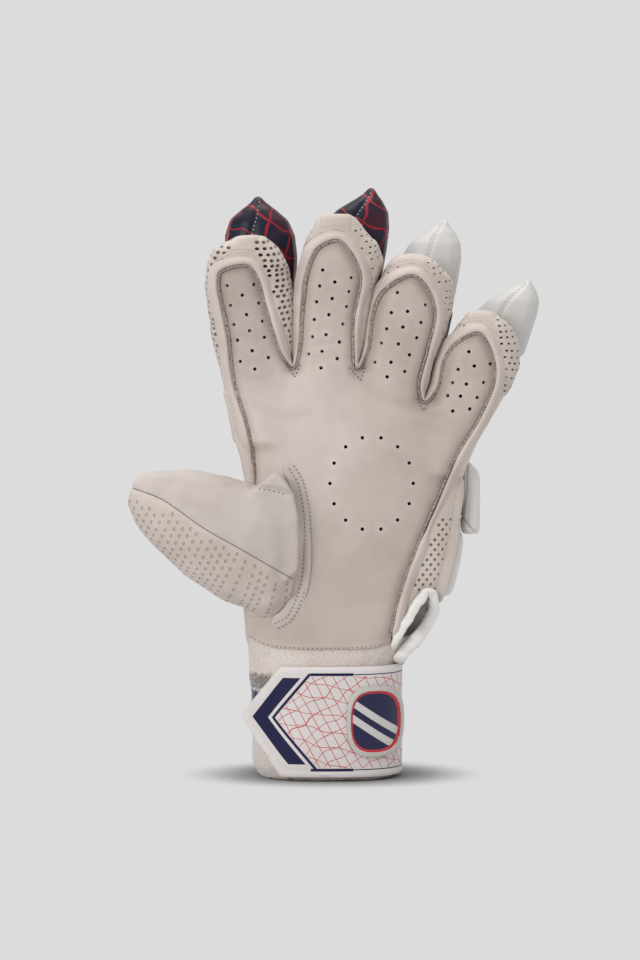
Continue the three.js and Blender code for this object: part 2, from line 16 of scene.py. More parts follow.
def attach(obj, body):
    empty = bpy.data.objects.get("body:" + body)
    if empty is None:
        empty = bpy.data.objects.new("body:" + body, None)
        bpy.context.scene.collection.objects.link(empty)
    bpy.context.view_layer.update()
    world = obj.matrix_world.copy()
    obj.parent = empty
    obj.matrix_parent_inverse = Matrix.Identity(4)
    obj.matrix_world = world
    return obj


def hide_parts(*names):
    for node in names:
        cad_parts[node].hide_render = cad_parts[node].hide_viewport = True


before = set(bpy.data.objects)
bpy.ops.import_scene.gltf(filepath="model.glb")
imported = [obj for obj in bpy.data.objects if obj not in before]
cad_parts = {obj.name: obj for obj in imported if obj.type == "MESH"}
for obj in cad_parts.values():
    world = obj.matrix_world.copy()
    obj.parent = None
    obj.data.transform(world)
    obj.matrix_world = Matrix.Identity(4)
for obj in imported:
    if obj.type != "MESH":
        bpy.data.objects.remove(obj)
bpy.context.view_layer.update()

MM = 0.001
SHIFT = np.array([-0.43, -3.5, 0.0])

# %% [markdown]
# ## Camera, light and floor
# A product picture of this kind is taken from almost level, with a long lens, so that the glove is not
# stretched. A large soft lamp straight above gives part of the short dark shadow round the cuff and the shade
# under each lip, and a weak one on the left shows the roundness of the palm. The rest of that shadow is
# painted: the floor is much darker than the backdrop and fades out into it, which also hides the line of the
# horizon.

# %% Camera
CAMERA_AIM = Vector((-7.3, -27.0, 148.0)) * MM
CAMERA_RISE = math.radians(3.2)
LENS, SENSOR = 180.0, 36.0
PICTURE_HEIGHT = 960 * 0.49 * MM
camera_distance = LENS / SENSOR * PICTURE_HEIGHT


def placed(name, data):
    """A new object of the scene."""
    made = bpy.data.objects.new(name, data)
    bpy.context.scene.collection.objects.link(made)
    return made


def add_camera():
    lens = bpy.data.cameras.new("camera")
    lens.lens, lens.sensor_width = LENS, SENSOR
    camera = placed("camera", lens)
    back = Vector((0.0, -math.cos(CAMERA_RISE), math.sin(CAMERA_RISE)))
    camera.location = CAMERA_AIM + back * camera_distance
    camera.rotation_euler = (-back).to_track_quat("-Z", "Y").to_euler()
    bpy.context.scene.camera = camera


add_camera()
print("camera distance:", round(camera_distance, 3), "m")

# %% Lamps and backdrop
BACKDROP = 0.716
LAMP_AIM = Vector((0.0, 0.0, 0.14))


def add_lamp(name, place, power, size=0.7):
    light = bpy.data.lights.new(name, "AREA")
    light.shape, light.size, light.energy = "DISK", size, power
    lamp = placed(name, light)
    lamp.location = place
    lamp.rotation_euler = (LAMP_AIM - Vector(place)).to_track_quat("-Z", "Y").to_euler()


def add_backdrop():
    world = bpy.data.worlds.new("backdrop")
    bpy.context.scene.world = world
    world.use_nodes = True
    world.node_tree.nodes["Background"].inputs["Color"].default_value = (BACKDROP, BACKDROP, BACKDROP, 1.0)


add_lamp("lamp_above", (-0.04, 0.12, 1.1), 4.6)
add_lamp("lamp_left", (-0.75, -1.35, 0.6), 8.6)
add_backdrop()
bpy.context.scene.view_settings.view_transform = "Standard"

# %% [markdown]
# ## Shader maths
# A finish is a small calculation on the place of each point of the surface. One class wraps a socket of a
# node, so that the calculation can be written as an ordinary expression, and one method adds every other
# kind of node.

# %% Fields and finishes
def operator(operation, turned=False):
    """A method that puts a Math node on a field and what it is worked with."""
    def act(self, *others):
        values = (*others, self) if turned else (self, *others)
        return self.finish.node("ShaderNodeMath", {"operation": operation}, dict(enumerate(values)))
    return act


class Field:
    """A number or colour that changes over a surface."""

    __add__ = __radd__ = operator("ADD")
    __mul__ = __rmul__ = operator("MULTIPLY")
    __sub__, __rsub__ = operator("SUBTRACT"), operator("SUBTRACT", turned=True)
    __truediv__, __pow__, __abs__ = operator("DIVIDE"), operator("POWER"), operator("ABSOLUTE")
    least, most, bounce = operator("MINIMUM"), operator("MAXIMUM"), operator("PINGPONG")

    def __init__(self, finish, socket):
        self.finish, self.socket = finish, socket

    def wave(self, period):
        """From 0 to 1 and back, once in each period."""
        return self.bounce(period / 2) / (period / 2)

    def between(self, low, high):
        """0 below low, 1 above high, and soft between them."""
        values = {"Value": self, "From Min": low, "From Max": high}
        return self.finish.node("ShaderNodeMapRange", {"interpolation_type": "SMOOTHSTEP"}, values)


class Finish:
    """A material on Blender's Principled shader, built from expressions."""

    def __init__(self, name):
        self.material = bpy.data.materials.new(name)
        self.material.use_nodes = True
        self.tree = self.material.node_tree
        self.shader = self.tree.nodes["Principled BSDF"]
        self.place = self.node("ShaderNodeTexCoord", output="Object")
        self.x, self.y, self.z = self.parts_of(self.place)

    def node(self, kind, settings=None, values=None, output=0):
        made = self.tree.nodes.new(kind)
        for key, value in (settings or {}).items():
            if key == "stops":
                self.set_stops(made.color_ramp, value)
            else:
                setattr(made, key, value)
        for key, value in (values or {}).items():
            if isinstance(value, Field):
                self.tree.links.new(value.socket, made.inputs[key])
            else:
                made.inputs[key].default_value = value
        return Field(self, made.outputs[output])

    def set_stops(self, ramp, stops):
        while len(ramp.elements) < len(stops):
            ramp.elements.new(0.5)
        for element, (place, colour) in zip(ramp.elements, stops):
            element.position, element.color = place, colour

    def parts_of(self, vector):
        """X, Y and Z of a vector in metres, each in millimetres."""
        outputs = self.node("ShaderNodeSeparateXYZ", None, {"Vector": vector}).socket.node.outputs
        return [Field(self, outputs[axis]) * 1000.0 for axis in "XYZ"]

    def flat_place(self):
        """The place on the flat cut of a bent sheet, from the mesh."""
        return self.node("ShaderNodeAttribute", {"attribute_name": "flat_place"}, None, "Vector")

    def grain(self, size, detail=2.0, place=None):
        """Soft noise from 0 to 1 with lumps of that size in millimetres."""
        values = {"Vector": place or self.place, "Scale": 1000.0 / size, "Detail": detail}
        return self.node("ShaderNodeTexNoise", None, values)

    def cells(self, size):
        """The distance to the nearest of many scattered points."""
        return self.node("ShaderNodeTexVoronoi", None, {"Vector": self.place, "Scale": 1000.0 / size})

    def blend(self, share, low, high, kind="MIX"):
        """A mix of two colours."""
        return self.node("ShaderNodeMix", {"data_type": "RGBA", "blend_type": kind},
                         {0: share, 6: low, 7: high}, 2)

    def hollow_grey(self, dark):
        """A grey that is darker in creases and lighter on edges, from the shape of the mesh."""
        shape = self.node("ShaderNodeNewGeometry", output="Pointiness")
        return shape.between(0.44, 0.56) * (1.0 - dark) + dark

    def tinted(self, colour, share):
        """A colour multiplied by a grey field."""
        grey = self.node("ShaderNodeCombineXYZ", None, {0: share, 1: share, 2: share})
        return self.blend(1.0, colour, grey, "MULTIPLY")

    def feed(self, **sockets):
        for key, value in sockets.items():
            socket = self.shader.inputs[key.replace("_", " ")]
            if isinstance(value, Field):
                self.tree.links.new(value.socket, socket)
            else:
                socket.default_value = value

    def raise_by(self, height, millimetres, strength=1.0):
        """A bump whose height field runs from 0 to 1."""
        values = {"Height": height, "Distance": millimetres * MM, "Strength": strength}
        self.feed(Normal=self.node("ShaderNodeBump", None, values))
        return self


def tone(red, green, blue):
    """A colour of the screen, 0 to 255, as the linear colour that a shader takes."""
    parts = [c / 255.0 for c in (red, green, blue)]
    return tuple(c / 12.92 if c <= 0.04045 else ((c + 0.055) / 1.055) ** 2.4 for c in parts) + (1.0,)


# %% [markdown]
# ## Leather, padding and towelling
# Palm leather is thin sheepskin: a fine pebbled grain, slow blotches of tone and a dull sheen. The padding
# is covered in a smoother synthetic that shines more. Each finish gets its grain as a bump, a slow change of
# tone, and a grey that darkens the hollows of the mesh and lightens its edges. The palm's tone also carries
# painted light and shade.

# %% Leather finishes
def leather(name, colour, shade, grain=0.55, depth=0.05, rough=0.56, coat=0.0, fade=False):
    """fade is for the palm: painted light, lighter round a lit middle of the palm and darker towards its
    edges, and painted shade where the index finger turns away from the light.
    """
    made = Finish(name)
    pores, folds = made.cells(grain), made.grain(2.6, 3.0)
    blotches, speckle = made.grain(24.0, 3.0), made.grain(0.5, 1.0)
    tone_share = blotches.between(0.3, 0.7)
    if fade:
        # Painted light: lighter round a lit middle of the palm, darker towards its edges.
        from_lit_middle = ((made.x + 20.0) * 0.9) ** 2.0 + ((made.z - 172.0) * 0.72) ** 2.0
        tone_share = tone_share * 0.35 + (1.0 - (from_lit_middle ** 0.5).between(8.0, 60.0)) * 0.85
    base = made.blend(tone_share, shade, colour)
    if fade:
        # Painted shade on the index finger, which turns away from the light.
        painted_index_shade = (1.0 - made.x.between(-36.0, -22.0)) * made.z.between(182.0, 208.0)
        base = made.tinted(base, 1.0 - painted_index_shade * 0.14)
    base = made.tinted(base, made.hollow_grey(0.86) * (speckle * 0.07 + 0.965))
    made.feed(Base_Color=base, Roughness=blotches * 0.12 + rough, Coat_Weight=coat)
    made.feed(Specular_IOR_Level=0.36, Sheen_Weight=0.12, Sheen_Roughness=0.5, Coat_Roughness=0.3)
    made.raise_by(pores * 0.6 + folds * 0.6, depth, 0.7)
    return made


palm_finish = leather("palm_leather", tone(209, 197, 190), tone(184, 170, 161), fade=True)
gusset_finish = leather("gusset_leather", tone(207, 195, 187), tone(194, 181, 172), 0.7, 0.08, 0.6)
# The side leather is a lighter copy of the gusset leather: painted light against the shade on the side of the
# hand.
lit_side_finish = leather("side_leather_painted_light", tone(218, 206, 197), tone(205, 192, 182), 0.7, 0.08, 0.6)
lip_finish = leather("lip_leather", tone(209, 197, 189), tone(194, 181, 173), 0.6, 0.05)
thumb_finish = leather("thumb_leather", tone(203, 193, 186), tone(193, 182, 174))
lining_finish = leather("slit_lining", tone(168, 160, 154), tone(150, 142, 136), 0.8)
# The blocks and the binding are lighter copies of the white padding: painted light against the shade on the
# side of the hand and in the slit.
lit_block_finish = leather("white_blocks_painted_light", tone(228, 224, 221), tone(217, 212, 208), 0.5, 0.04, 0.4, 0.06)
lit_binding_finish = leather("white_binding_painted_light", tone(241, 238, 235), tone(231, 227, 223), 0.5, 0.04, 0.4, 0.06)
white_finish = leather("white_padding", tone(207, 204, 201), tone(195, 191, 187), 0.5, 0.04, 0.42, 0.05)
print("leathers:", len(bpy.data.materials))

# %% Raw suede edge, stitches and towelling
def suede():
    made = Finish("raw_edge")
    fibres = made.grain(0.6, 3.0)
    base = made.blend(fibres.between(0.38, 0.6), tone(104, 90, 82), tone(192, 180, 171))
    made.feed(Base_Color=base, Roughness=0.95, Sheen_Weight=0.3)
    return made.raise_by(fibres, 0.25)


def thread(name, colour):
    made = Finish(name)
    twist = (made.x + made.z * 1.4 + made.y).wave(0.32)
    made.feed(Base_Color=made.tinted(colour, twist * 0.22 + 0.78), Roughness=0.7, Sheen_Weight=0.2)
    return made.raise_by(twist, 0.05)


def towelling():
    made = Finish("towelling")
    knobs = made.cells(1.0)
    fuzz = made.grain(0.35, 3.0)
    tone_field = made.grain(16.0, 2.0).between(0.3, 0.7)
    base = made.blend(tone_field, tone(214, 202, 194), tone(226, 216, 208))
    base = made.tinted(base, (1.0 - knobs.between(0.3, 0.8)) * 0.12 + fuzz * 0.1 + 0.81)
    front_half = 1.0 - made.y.between(8.0, 12.0)
    beside_strap = (1.0 - made.x.between(-33.0, -29.0)) * front_half
    ragged = made.z + made.grain(2.4, 2.0) * 4.0 - 2.0
    worn = beside_strap * ragged.between(43.5, 45.0) * (1.0 - ragged.between(51.0, 53.0))
    base = made.blend(worn * made.grain(1.4, 3.0).between(0.25, 0.5), base, tone(126, 118, 115))
    mark = beside_strap * (1.0 - ragged.between(42.6, 43.8))
    upper = ragged.between(37.0, 38.0)
    base = made.blend(mark * upper, base, tone(38, 34, 86))
    base = made.blend(mark * ragged.between(34.4, 35.4) * (1.0 - upper), base, tone(182, 44, 62))
    made.feed(Base_Color=base, Roughness=0.95, Sheen_Weight=0.35, Specular_IOR_Level=0.2)
    return made.raise_by((1.0 - knobs) * 0.8 + fuzz * 0.4, 0.35)


raw_finish = suede()
white_thread = thread("white_thread", tone(196, 192, 190))
# The seam thread is dark grey-brown: thread colour, darkened as painted shade of the stitch holes.
seam_thread = thread("seam_thread", tone(150, 139, 131))
dark_thread = thread("dark_thread", tone(100, 88, 82))
towel_finish = towelling()

# %% [markdown]
# ## Navy padding with thin red lines
# Two of the tips are covered in glossy navy with red lines over it. A plain lattice of crossing lines, made
# from two slanted coordinates, stands for the printed pattern.

# %% Navy finish
def navy(name, with_lines):
    made = Finish(name)
    pores = made.cells(0.5)
    folds = made.grain(2.2, 3.0)
    base = made.blend(made.grain(9.0).between(0.35, 0.65), tone(5, 5, 32), tone(10, 11, 46))
    if with_lines:
        base = made.blend(made.grain(22.0, 1.0).between(0.48, 0.62) * 0.7, base, tone(74, 10, 26))
        bend = made.grain(14.0, 1.0) * 9.0
        first = abs((made.x * 0.5 + made.z * 0.86 + bend).wave(22.0) - 0.5)
        second = abs((made.x * 0.9 - made.z * 0.44 + bend + made.y * 0.4).wave(27.0) - 0.5)
        lines = 1.0 - first.least(second).between(0.025, 0.055)
        base = made.blend(lines, base, tone(150, 20, 34))
    base = made.tinted(base, made.hollow_grey(0.8))
    made.feed(Base_Color=base, Roughness=folds * 0.14 + 0.36, Specular_IOR_Level=0.3)
    made.feed(Coat_Weight=0.08, Coat_Roughness=0.3)
    return made.raise_by(pores * 0.5 + folds * 0.7, 0.05)


navy_finish = navy("navy_padding", False)
lined_navy_finish = navy("navy_padding_red_lines", True)

# %% [markdown]
# ## The floor
# Only a soft shadow under the cuff shows where the floor is. That shadow is painted: a round sheet much
# darker than the backdrop, whose edge fades out, does this from any side.

# %% Floor
FLOOR_RADIUS, FLOOR_SHADOW_TONE = 0.3, 0.33


def add_floor():
    made = bmesh.new()
    bmesh.ops.create_circle(made, cap_ends=True, cap_tris=True, segments=72, radius=FLOOR_RADIUS)
    mesh = bpy.data.meshes.new("floor")
    made.to_mesh(mesh)
    made.free()
    floor = placed("floor", mesh)
    floor.location.z = -0.0002
    finish = Finish("floor_painted_shadow")
    # The floor's dark tone, fading out in an oval round the cuff, is a painted shadow.
    away = (((finish.x + 1.0) / 42.0) ** 2.0 + ((finish.y - 3.0) / 36.0) ** 2.0) ** 0.5
    finish.feed(Base_Color=(FLOOR_SHADOW_TONE, FLOOR_SHADOW_TONE, FLOOR_SHADOW_TONE, 1.0), Roughness=1.0, Specular_IOR_Level=0.0)
    finish.feed(Alpha=1.0 - away.between(0.9, 1.9))
    mesh.materials.append(finish.material)


add_floor()

# %% [markdown]
# ## From a solid to a soft skin
# The CAD solids have flat facets. A soft skin is made from them in three steps: copy the solids, rebuild the
# copy as a fine even net (a voxel remesh), and relax the net until the facets are gone. Cuts and holes come
# last, because a remesh would blur them. The cuts use the Manifold solver, which is fast and exact on such
# closed nets.

# %% Helpers that read and make meshes
def points_of(mesh, rows="vertices", key="co"):
    values = np.empty(len(mesh.vertices) * 3)
    getattr(mesh, rows).foreach_get(key, values)
    return values.reshape(-1, 3)


def normals_of(mesh):
    return points_of(mesh, "vertex_normals", "vector")


def set_points(mesh, points):
    mesh.vertices.foreach_set("co", np.ascontiguousarray(points).ravel())
    mesh.update()


def mesh_from(name, points, faces):
    mesh = bpy.data.meshes.new(name)
    mesh.from_pydata([tuple(p) for p in points], [], [tuple(f) for f in faces])
    mesh.update()
    return mesh


def edited(mesh, *steps):
    """The mesh after some steps of bmesh, each on all of its faces."""
    whole = bmesh.new()
    whole.from_mesh(mesh)
    for step in steps:
        step(whole, faces=whole.faces)
    whole.to_mesh(mesh)
    whole.free()
    return mesh


def outside_out(mesh):
    return edited(mesh, bmesh.ops.recalc_face_normals)


def solids_mesh(*nodes):
    """One mesh of several solids, with the doubled corners of the export merged."""
    joined = bmesh.new()
    for node in nodes:
        joined.from_mesh(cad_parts[node].data)
    bmesh.ops.remove_doubles(joined, verts=joined.verts, dist=1e-6)
    mesh = bpy.data.meshes.new("+".join(nodes)[:40])
    joined.to_mesh(mesh)
    joined.free()
    return mesh


def modified(mesh, kind, **settings):
    """The mesh after one modifier."""
    carrier = placed("carrier", mesh)
    modifier = carrier.modifiers.new(kind, kind)
    for key, value in settings.items():
        setattr(modifier, key, value)
    graph = bpy.context.evaluated_depsgraph_get()
    result = bpy.data.meshes.new_from_object(carrier.evaluated_get(graph))
    bpy.data.objects.remove(carrier)
    return result


def relax(mesh, rounds):
    """Moves each point halfway to the middle of its neighbours, round by round."""
    points = points_of(mesh)
    ends = np.empty(len(mesh.edges) * 2, dtype=np.int64)
    mesh.edges.foreach_get("vertices", ends)
    first, second = ends.reshape(-1, 2).T
    count = np.bincount(ends, minlength=len(points)).astype(float)
    for _ in range(rounds):
        for axis in range(3):
            values = points[:, axis]
            total = np.bincount(first, values[second], len(points))
            total += np.bincount(second, values[first], len(points))
            points[:, axis] = values + 0.5 * (total / np.maximum(count, 1.0) - values)
    set_points(mesh, points)
    return mesh


def remeshed(mesh, voxel):
    return modified(mesh, "REMESH", mode="VOXEL", voxel_size=voxel * MM)


def soft_skin(nodes, voxel, rounds, grow=0.0):
    """The solids as one fine relaxed net. grow swells it, in millimetres."""
    net = relax(remeshed(solids_mesh(*nodes), voxel), rounds)
    set_points(net, points_of(net) + normals_of(net) * grow * MM)
    return net


def table_point(x, y, z):
    """A point of the part's tables, in millimetres, as a place in the frame."""
    return (np.array([x, y, z]) + SHIFT) * MM


def table_xz(points):
    """X and Z of points of the frame, in the tables' millimetres."""
    return points[:, 0] / MM - SHIFT[0], points[:, 2] / MM


def tube_faces(first, size, rings):
    """The faces of a closed tube from rings of points, each of that size."""
    faces = []
    for low in range(first, first + size * (rings - 1), size):
        for i in range(size):
            after = (i + 1) % size
            faces.append((low + i, low + after, low + size + after, low + size + i))
    last = first + size * (rings - 1)
    return [*faces, tuple(first + i for i in reversed(range(size))), tuple(last + i for i in range(size))]


def prism(outline, front, back):
    """A closed block with an outline in X and Z, in millimetres of the tables."""
    count = len(outline)
    points = [table_point(x, front, z) for x, z in outline] + [table_point(x, back, z) for x, z in outline]
    mesh = mesh_from("prism", points, tube_faces(0, count, 2))
    return edited(mesh, bmesh.ops.triangulate, bmesh.ops.recalc_face_normals)


def combine(mesh, other, operation):
    """The mesh and another one, cut with the Manifold solver: DIFFERENCE, INTERSECT or UNION."""
    tool = placed("tool", other)
    result = modified(mesh, "BOOLEAN", operation=operation, object=tool, solver="MANIFOLD")
    bpy.data.objects.remove(tool)
    return result


def show(name, mesh, finish, slot, nodes=(), crease=180.0):
    """Makes a piece of the glove from a mesh. Edges sharper than the crease stay sharp."""
    mesh.materials.clear()
    mesh.materials.append(finish.material)
    mesh.shade_smooth()
    if crease < 180.0:
        mesh.set_sharp_from_angle(angle=math.radians(crease))
    piece = placed(name, mesh)
    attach(piece, "root")
    if nodes:
        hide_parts(*nodes)
    print(name, len(mesh.polygons), "faces")
    return piece


def tree_of(mesh):
    points, faces = [tuple(p) for p in points_of(mesh)], [tuple(f.vertices) for f in mesh.polygons]
    return BVHTree.FromPolygons(points, faces)


def seen(tree, x, z):
    """Place and normal of what the viewer sees at an X and Z of the tables, or None twice."""
    start = Vector(((x + SHIFT[0]) * MM, -0.12, z * MM))
    return tree.ray_cast(start, Vector((0, 1, 0)))[:2]


# %% [markdown]
# ## The front of the hand as a height map
# Almost everything in the picture lies on the front of the hand. Rays from the camera's side find its depth
# on a grid of one millimetre. Places without leather, such as the holes, are filled from their neighbours,
# and the whole map is blurred a little, so that sheets and seams laid on it run smoothly.

# %% Height map
MAP_LEFT, MAP_LOW, MAP_WIDTH, MAP_HEIGHT = -66, 60, 162, 220


def blurred(values, mask, rounds):
    """Neighbour averages that leave out what the mask leaves out."""
    mask = mask.astype(float)
    total = values * mask
    for _ in range(rounds):
        for axis in (0, 1):
            total = (np.roll(total, 1, axis) + 2 * total + np.roll(total, -1, axis)) / 4
            mask = (np.roll(mask, 1, axis) + 2 * mask + np.roll(mask, -1, axis)) / 4
    return np.where(mask > 1e-6, total / np.maximum(mask, 1e-6), values)


def height_map(mesh, deepest):
    """The depth of a mesh as seen from the front, in metres."""
    tree = tree_of(mesh)
    depth = np.zeros((MAP_HEIGHT, MAP_WIDTH))
    hit = np.zeros((MAP_HEIGHT, MAP_WIDTH), bool)
    for row in range(MAP_HEIGHT):
        for column in range(MAP_WIDTH):
            place = seen(tree, MAP_LEFT + column - SHIFT[0], MAP_LOW + row)[0]
            if place is not None and place.y < deepest:
                depth[row, column], hit[row, column] = place.y, True
    filled = depth.copy()
    known = hit.copy()
    for _ in range(60):
        spread = blurred(filled, known, 1)
        grown = blurred(known.astype(float), np.ones_like(known), 1) > 1e-9
        filled, known = np.where(hit, depth, spread), grown | known
    return blurred(filled, known, 3)


def reader(depth):
    """Reads a height map between its grid points, at places in metres."""
    def read(x, z):
        column = np.clip(np.asarray(x, float) / MM - MAP_LEFT, 0, MAP_WIDTH - 1.001)
        row = np.clip(np.asarray(z, float) / MM - MAP_LOW, 0, MAP_HEIGHT - 1.001)
        c, r = column.astype(int), row.astype(int)
        a, b = column - c, row - r
        low = depth[r, c] * (1 - a) + depth[r, c + 1] * a
        high = depth[r + 1, c] * (1 - a) + depth[r + 1, c + 1] * a
        return low * (1 - b) + high * b
    return read


hand_nodes = ["palm_leather", "gusset_index", "gusset_middle", "gusset_ring", "gusset_little", "gusset_side"]
front = reader(height_map(solids_mesh(*hand_nodes), -0.006))
print("palm depth at its middle:", round(float(front(0.0, 0.13)) * 1000, 1), "mm")

# %% [markdown]
# ## The outline of the palm leather
# One line runs up the thumb side, round each finger and down the outer side. It is smooth round the fingers
# and comes to a point between them. The leather, the raised lip and the cuts of the panels beside it all use
# this line.

# %% Outline
outline_left = [(-44, 50), (-44, 120), (-41.5, 155), (-44.5, 173), (-51, 195)]
outline_fingers = [
    [(-54.6, 222), (-58.6, 242), (-57.5, 250.5), (-49, 254.5), (-41, 254.3), (-36.4, 249), (-31.4, 232.3),
     (-24.8, 211)],
    [(-18.2, 213), (-17, 234.2), (-14.4, 252), (-8.8, 263.1), (2.5, 267.1), (10, 260), (15, 247.5),
     (11.5, 226)],
    [(15.4, 212), (17.6, 229), (23, 241.5), (37.5, 250), (46, 245), (51.5, 230.3), (47.5, 210), (43.4, 194)],
    [(49.8, 193), (53, 207.3), (60, 217), (71.5, 221.5), (77.5, 215), (81, 198.5), (73.5, 178),
     (62.2, 159.3)],
]
outline_crotches = [(-20.1, 203.4), (11.4, 202.4), (44.6, 186.4)]
outline_right = [(54.4, 141.6), (44.1, 118.1), (34.5, 92), (31, 78), (28.4, 66), (28, 50)]


def smooth_line(knots, steps):
    """A centripetal Catmull-Rom line through the knots, by repeated mixing of neighbours."""
    knots = [np.array(k, float) for k in knots]
    ends = [2 * knots[0] - knots[1], *knots, 2 * knots[-1] - knots[-2]]
    line = []
    for four in zip(ends, ends[1:], ends[2:], ends[3:]):
        times = np.cumsum([0.0] + [np.linalg.norm(q - p) ** 0.5 for p, q in zip(four, four[1:])])
        for t in np.linspace(times[1], times[2], steps, endpoint=False):
            row = four
            for spans in ([(0, 1), (1, 2), (2, 3)], [(0, 2), (1, 3)], [(1, 2)]):
                shares = [(t - times[a]) / (times[b] - times[a]) for a, b in spans]
                row = [p * (1 - share) + q * share for share, p, q in zip(shares, row, row[1:])]
            line.append(row[0])
    line.append(knots[-1])
    return np.array(line)


def resampled(line, pitch):
    """The same line with points at an even distance, in its own units."""
    steps = np.linalg.norm(np.diff(line, axis=0), axis=1)
    along = np.concatenate([[0.0], np.cumsum(steps)])
    count = max(2, int(round(along[-1] / pitch)) + 1)
    places = np.linspace(0, along[-1], count)
    return np.stack([np.interp(places, along, line[:, axis]) for axis in range(line.shape[1])], axis=1)


outline_ends = [None, *outline_crotches, None]
outline_parts = []
for i, finger in enumerate(outline_fingers):
    before = outline_left if i == 0 else [outline_ends[i]]
    after = outline_right if i == 3 else [outline_ends[i + 1]]
    outline_parts.append(smooth_line([*before, *finger, *after], 8)[(i > 0):])
outline = resampled(np.vstack(outline_parts), 1.2)
print("outline points:", len(outline))


def side_ways(line):
    """The unit vector to the right of a line at each of its points, in X and Z."""
    way = np.gradient(line, axis=0)
    way /= np.linalg.norm(way, axis=1)[:, None]
    return np.stack([way[:, 1], -way[:, 0]], axis=1)


def inside(line, x, z):
    """Which points lie inside a closed line."""
    result = np.zeros(np.shape(x), bool)
    for (ax, az), (bx, bz) in zip(line, np.roll(line, -1, axis=0)):
        crosses = (az > z) != (bz > z)
        if az != bz:
            result ^= crosses & (x < ax + (z - az) * (bx - ax) / (bz - az))
    return result


def distance_to(line, x, z):
    """Distance from points to an open line, in its own units."""
    best = np.full(np.shape(x), 1e9)
    for (ax, az), (bx, bz) in zip(line[:-1], line[1:]):
        dx, dz = bx - ax, bz - az
        share = np.clip(((x - ax) * dx + (z - az) * dz) / max(dx * dx + dz * dz, 1e-12), 0, 1)
        best = np.minimum(best, np.hypot(x - ax - share * dx, z - az - share * dz))
    return best

# %% [markdown]
# ## The palm leather
# The real panel is one sheet of soft leather with punched vents. A constrained triangulation gives a net
# that runs exactly round the edge and round each vent, so the holes are real. The sheet is then laid on the
# height map: it sinks a little beside the seams, as the thread pulls it in, and keeps the soft creases where
# the fingers bend.

# %% Vents and creases, in millimetres of the tables
VENT_RADIUS = 0.92
vents = {
    "index": [(-52.5, 243), (-39.2, 243.6), (-45, 238.4), (-36.8, 234.5), (-50.9, 233.3), (-42.9, 228.8),
              (-35, 225.6), (-49.3, 223.9), (-41.5, 220.8), (-34.1, 217.7), (-47.5, 216.2), (-40.2, 211.1),
              (-32.2, 207.7), (-46.2, 205.8), (-38.9, 202.1)],
    "middle": [(-5.6, 250.7), (8.6, 246.9), (0.4, 244.8), (-7.1, 242.9), (7.5, 240.1), (-0.9, 236.7),
               (-8.6, 235.1), (6.3, 232.7), (-2.5, 228.8), (-9.8, 226.4), (4.5, 224.2), (-3.9, 218.9),
               (-10.7, 217.9), (2.7, 215.3), (-5.9, 210.7), (-12.6, 209.4), (1.6, 207.2), (-6.4, 202.7)],
    "ring": [(31, 239.7), (45, 233.6), (36.1, 230.4), (28.1, 229.8), (42.8, 224.9), (33.8, 222.7),
             (25.8, 221.8), (40.7, 217.4), (31.6, 214.4), (23.2, 214.8), (37.1, 209), (28, 205.4),
             (20, 205.4), (34.8, 200.9), (26.1, 198.3)],
    "little": [(66.2, 210.6), (76.9, 204.6), (68.9, 203.6), (60.9, 201.9), (73.6, 195.5), (58.2, 195.4),
               (65, 194.7), (70.4, 188.1), (62.1, 188.8), (55.8, 189), (66.7, 182.5), (58.3, 181.5)],
    "palm": [(18.5 + 20.5 * math.cos(a), 146 + 23 * math.sin(a)) for a in np.linspace(0, math.tau, 15)[:-1]],
}
creases = [
    ([(-51, 216), (-43, 217.6), (-33, 216)], 1.3, 0.6),
    ([(-46, 199), (-38, 198), (-29, 199.5)], 1.6, 0.5),
    ([(-9, 213.6), (-1, 215.6), (6, 214)], 1.3, 0.5),
    ([(-12, 207), (-2, 208.4), (7, 207)], 1.5, 0.55),
    ([(23, 212), (31, 213), (40, 208)], 1.3, 0.4),
    ([(12.7, 198), (25, 188), (42.1, 183.3), (52, 180)], 2.6, 0.9),
    ([(-38, 184), (-24, 178), (-12, 180)], 2.6, 0.5),
    ([(-6, 190), (6, 180), (14, 168)], 3.2, 0.35),
    ([(56, 190), (63, 186), (70, 180)], 1.6, 0.4),
    ([(30, 160), (44, 152), (52, 146)], 3.0, 0.4),
]
hem_line = smooth_line([(-44.5, 70), (-39, 67.2), (-31, 65), (-20, 64.2), (6, 64.2), (20, 65), (31, 67)], 8)


def above_hem(line):
    return line[line[:, 1] > np.interp(line[:, 0], hem_line[:, 0], hem_line[:, 1])]


palm_edge = np.vstack([above_hem(outline), resampled(hem_line, 1.2)[::-1]])
print("vents:", sum(len(v) for v in vents.values()), "creases:", len(creases))

# %% Nets with real holes
HOLE_SIDES = 10


def hexagonal_grid(low, high, pitch):
    points = []
    for row, z in enumerate(np.arange(low[1], high[1], pitch * 0.866)):
        start = low[0] + (pitch / 2 if row % 2 else 0.0)
        points += [(x, z) for x in np.arange(start, high[0], pitch)]
    return np.array(points)


def around(count):
    """Even turns round a circle."""
    return np.linspace(0, math.tau, count + 1)[:-1]


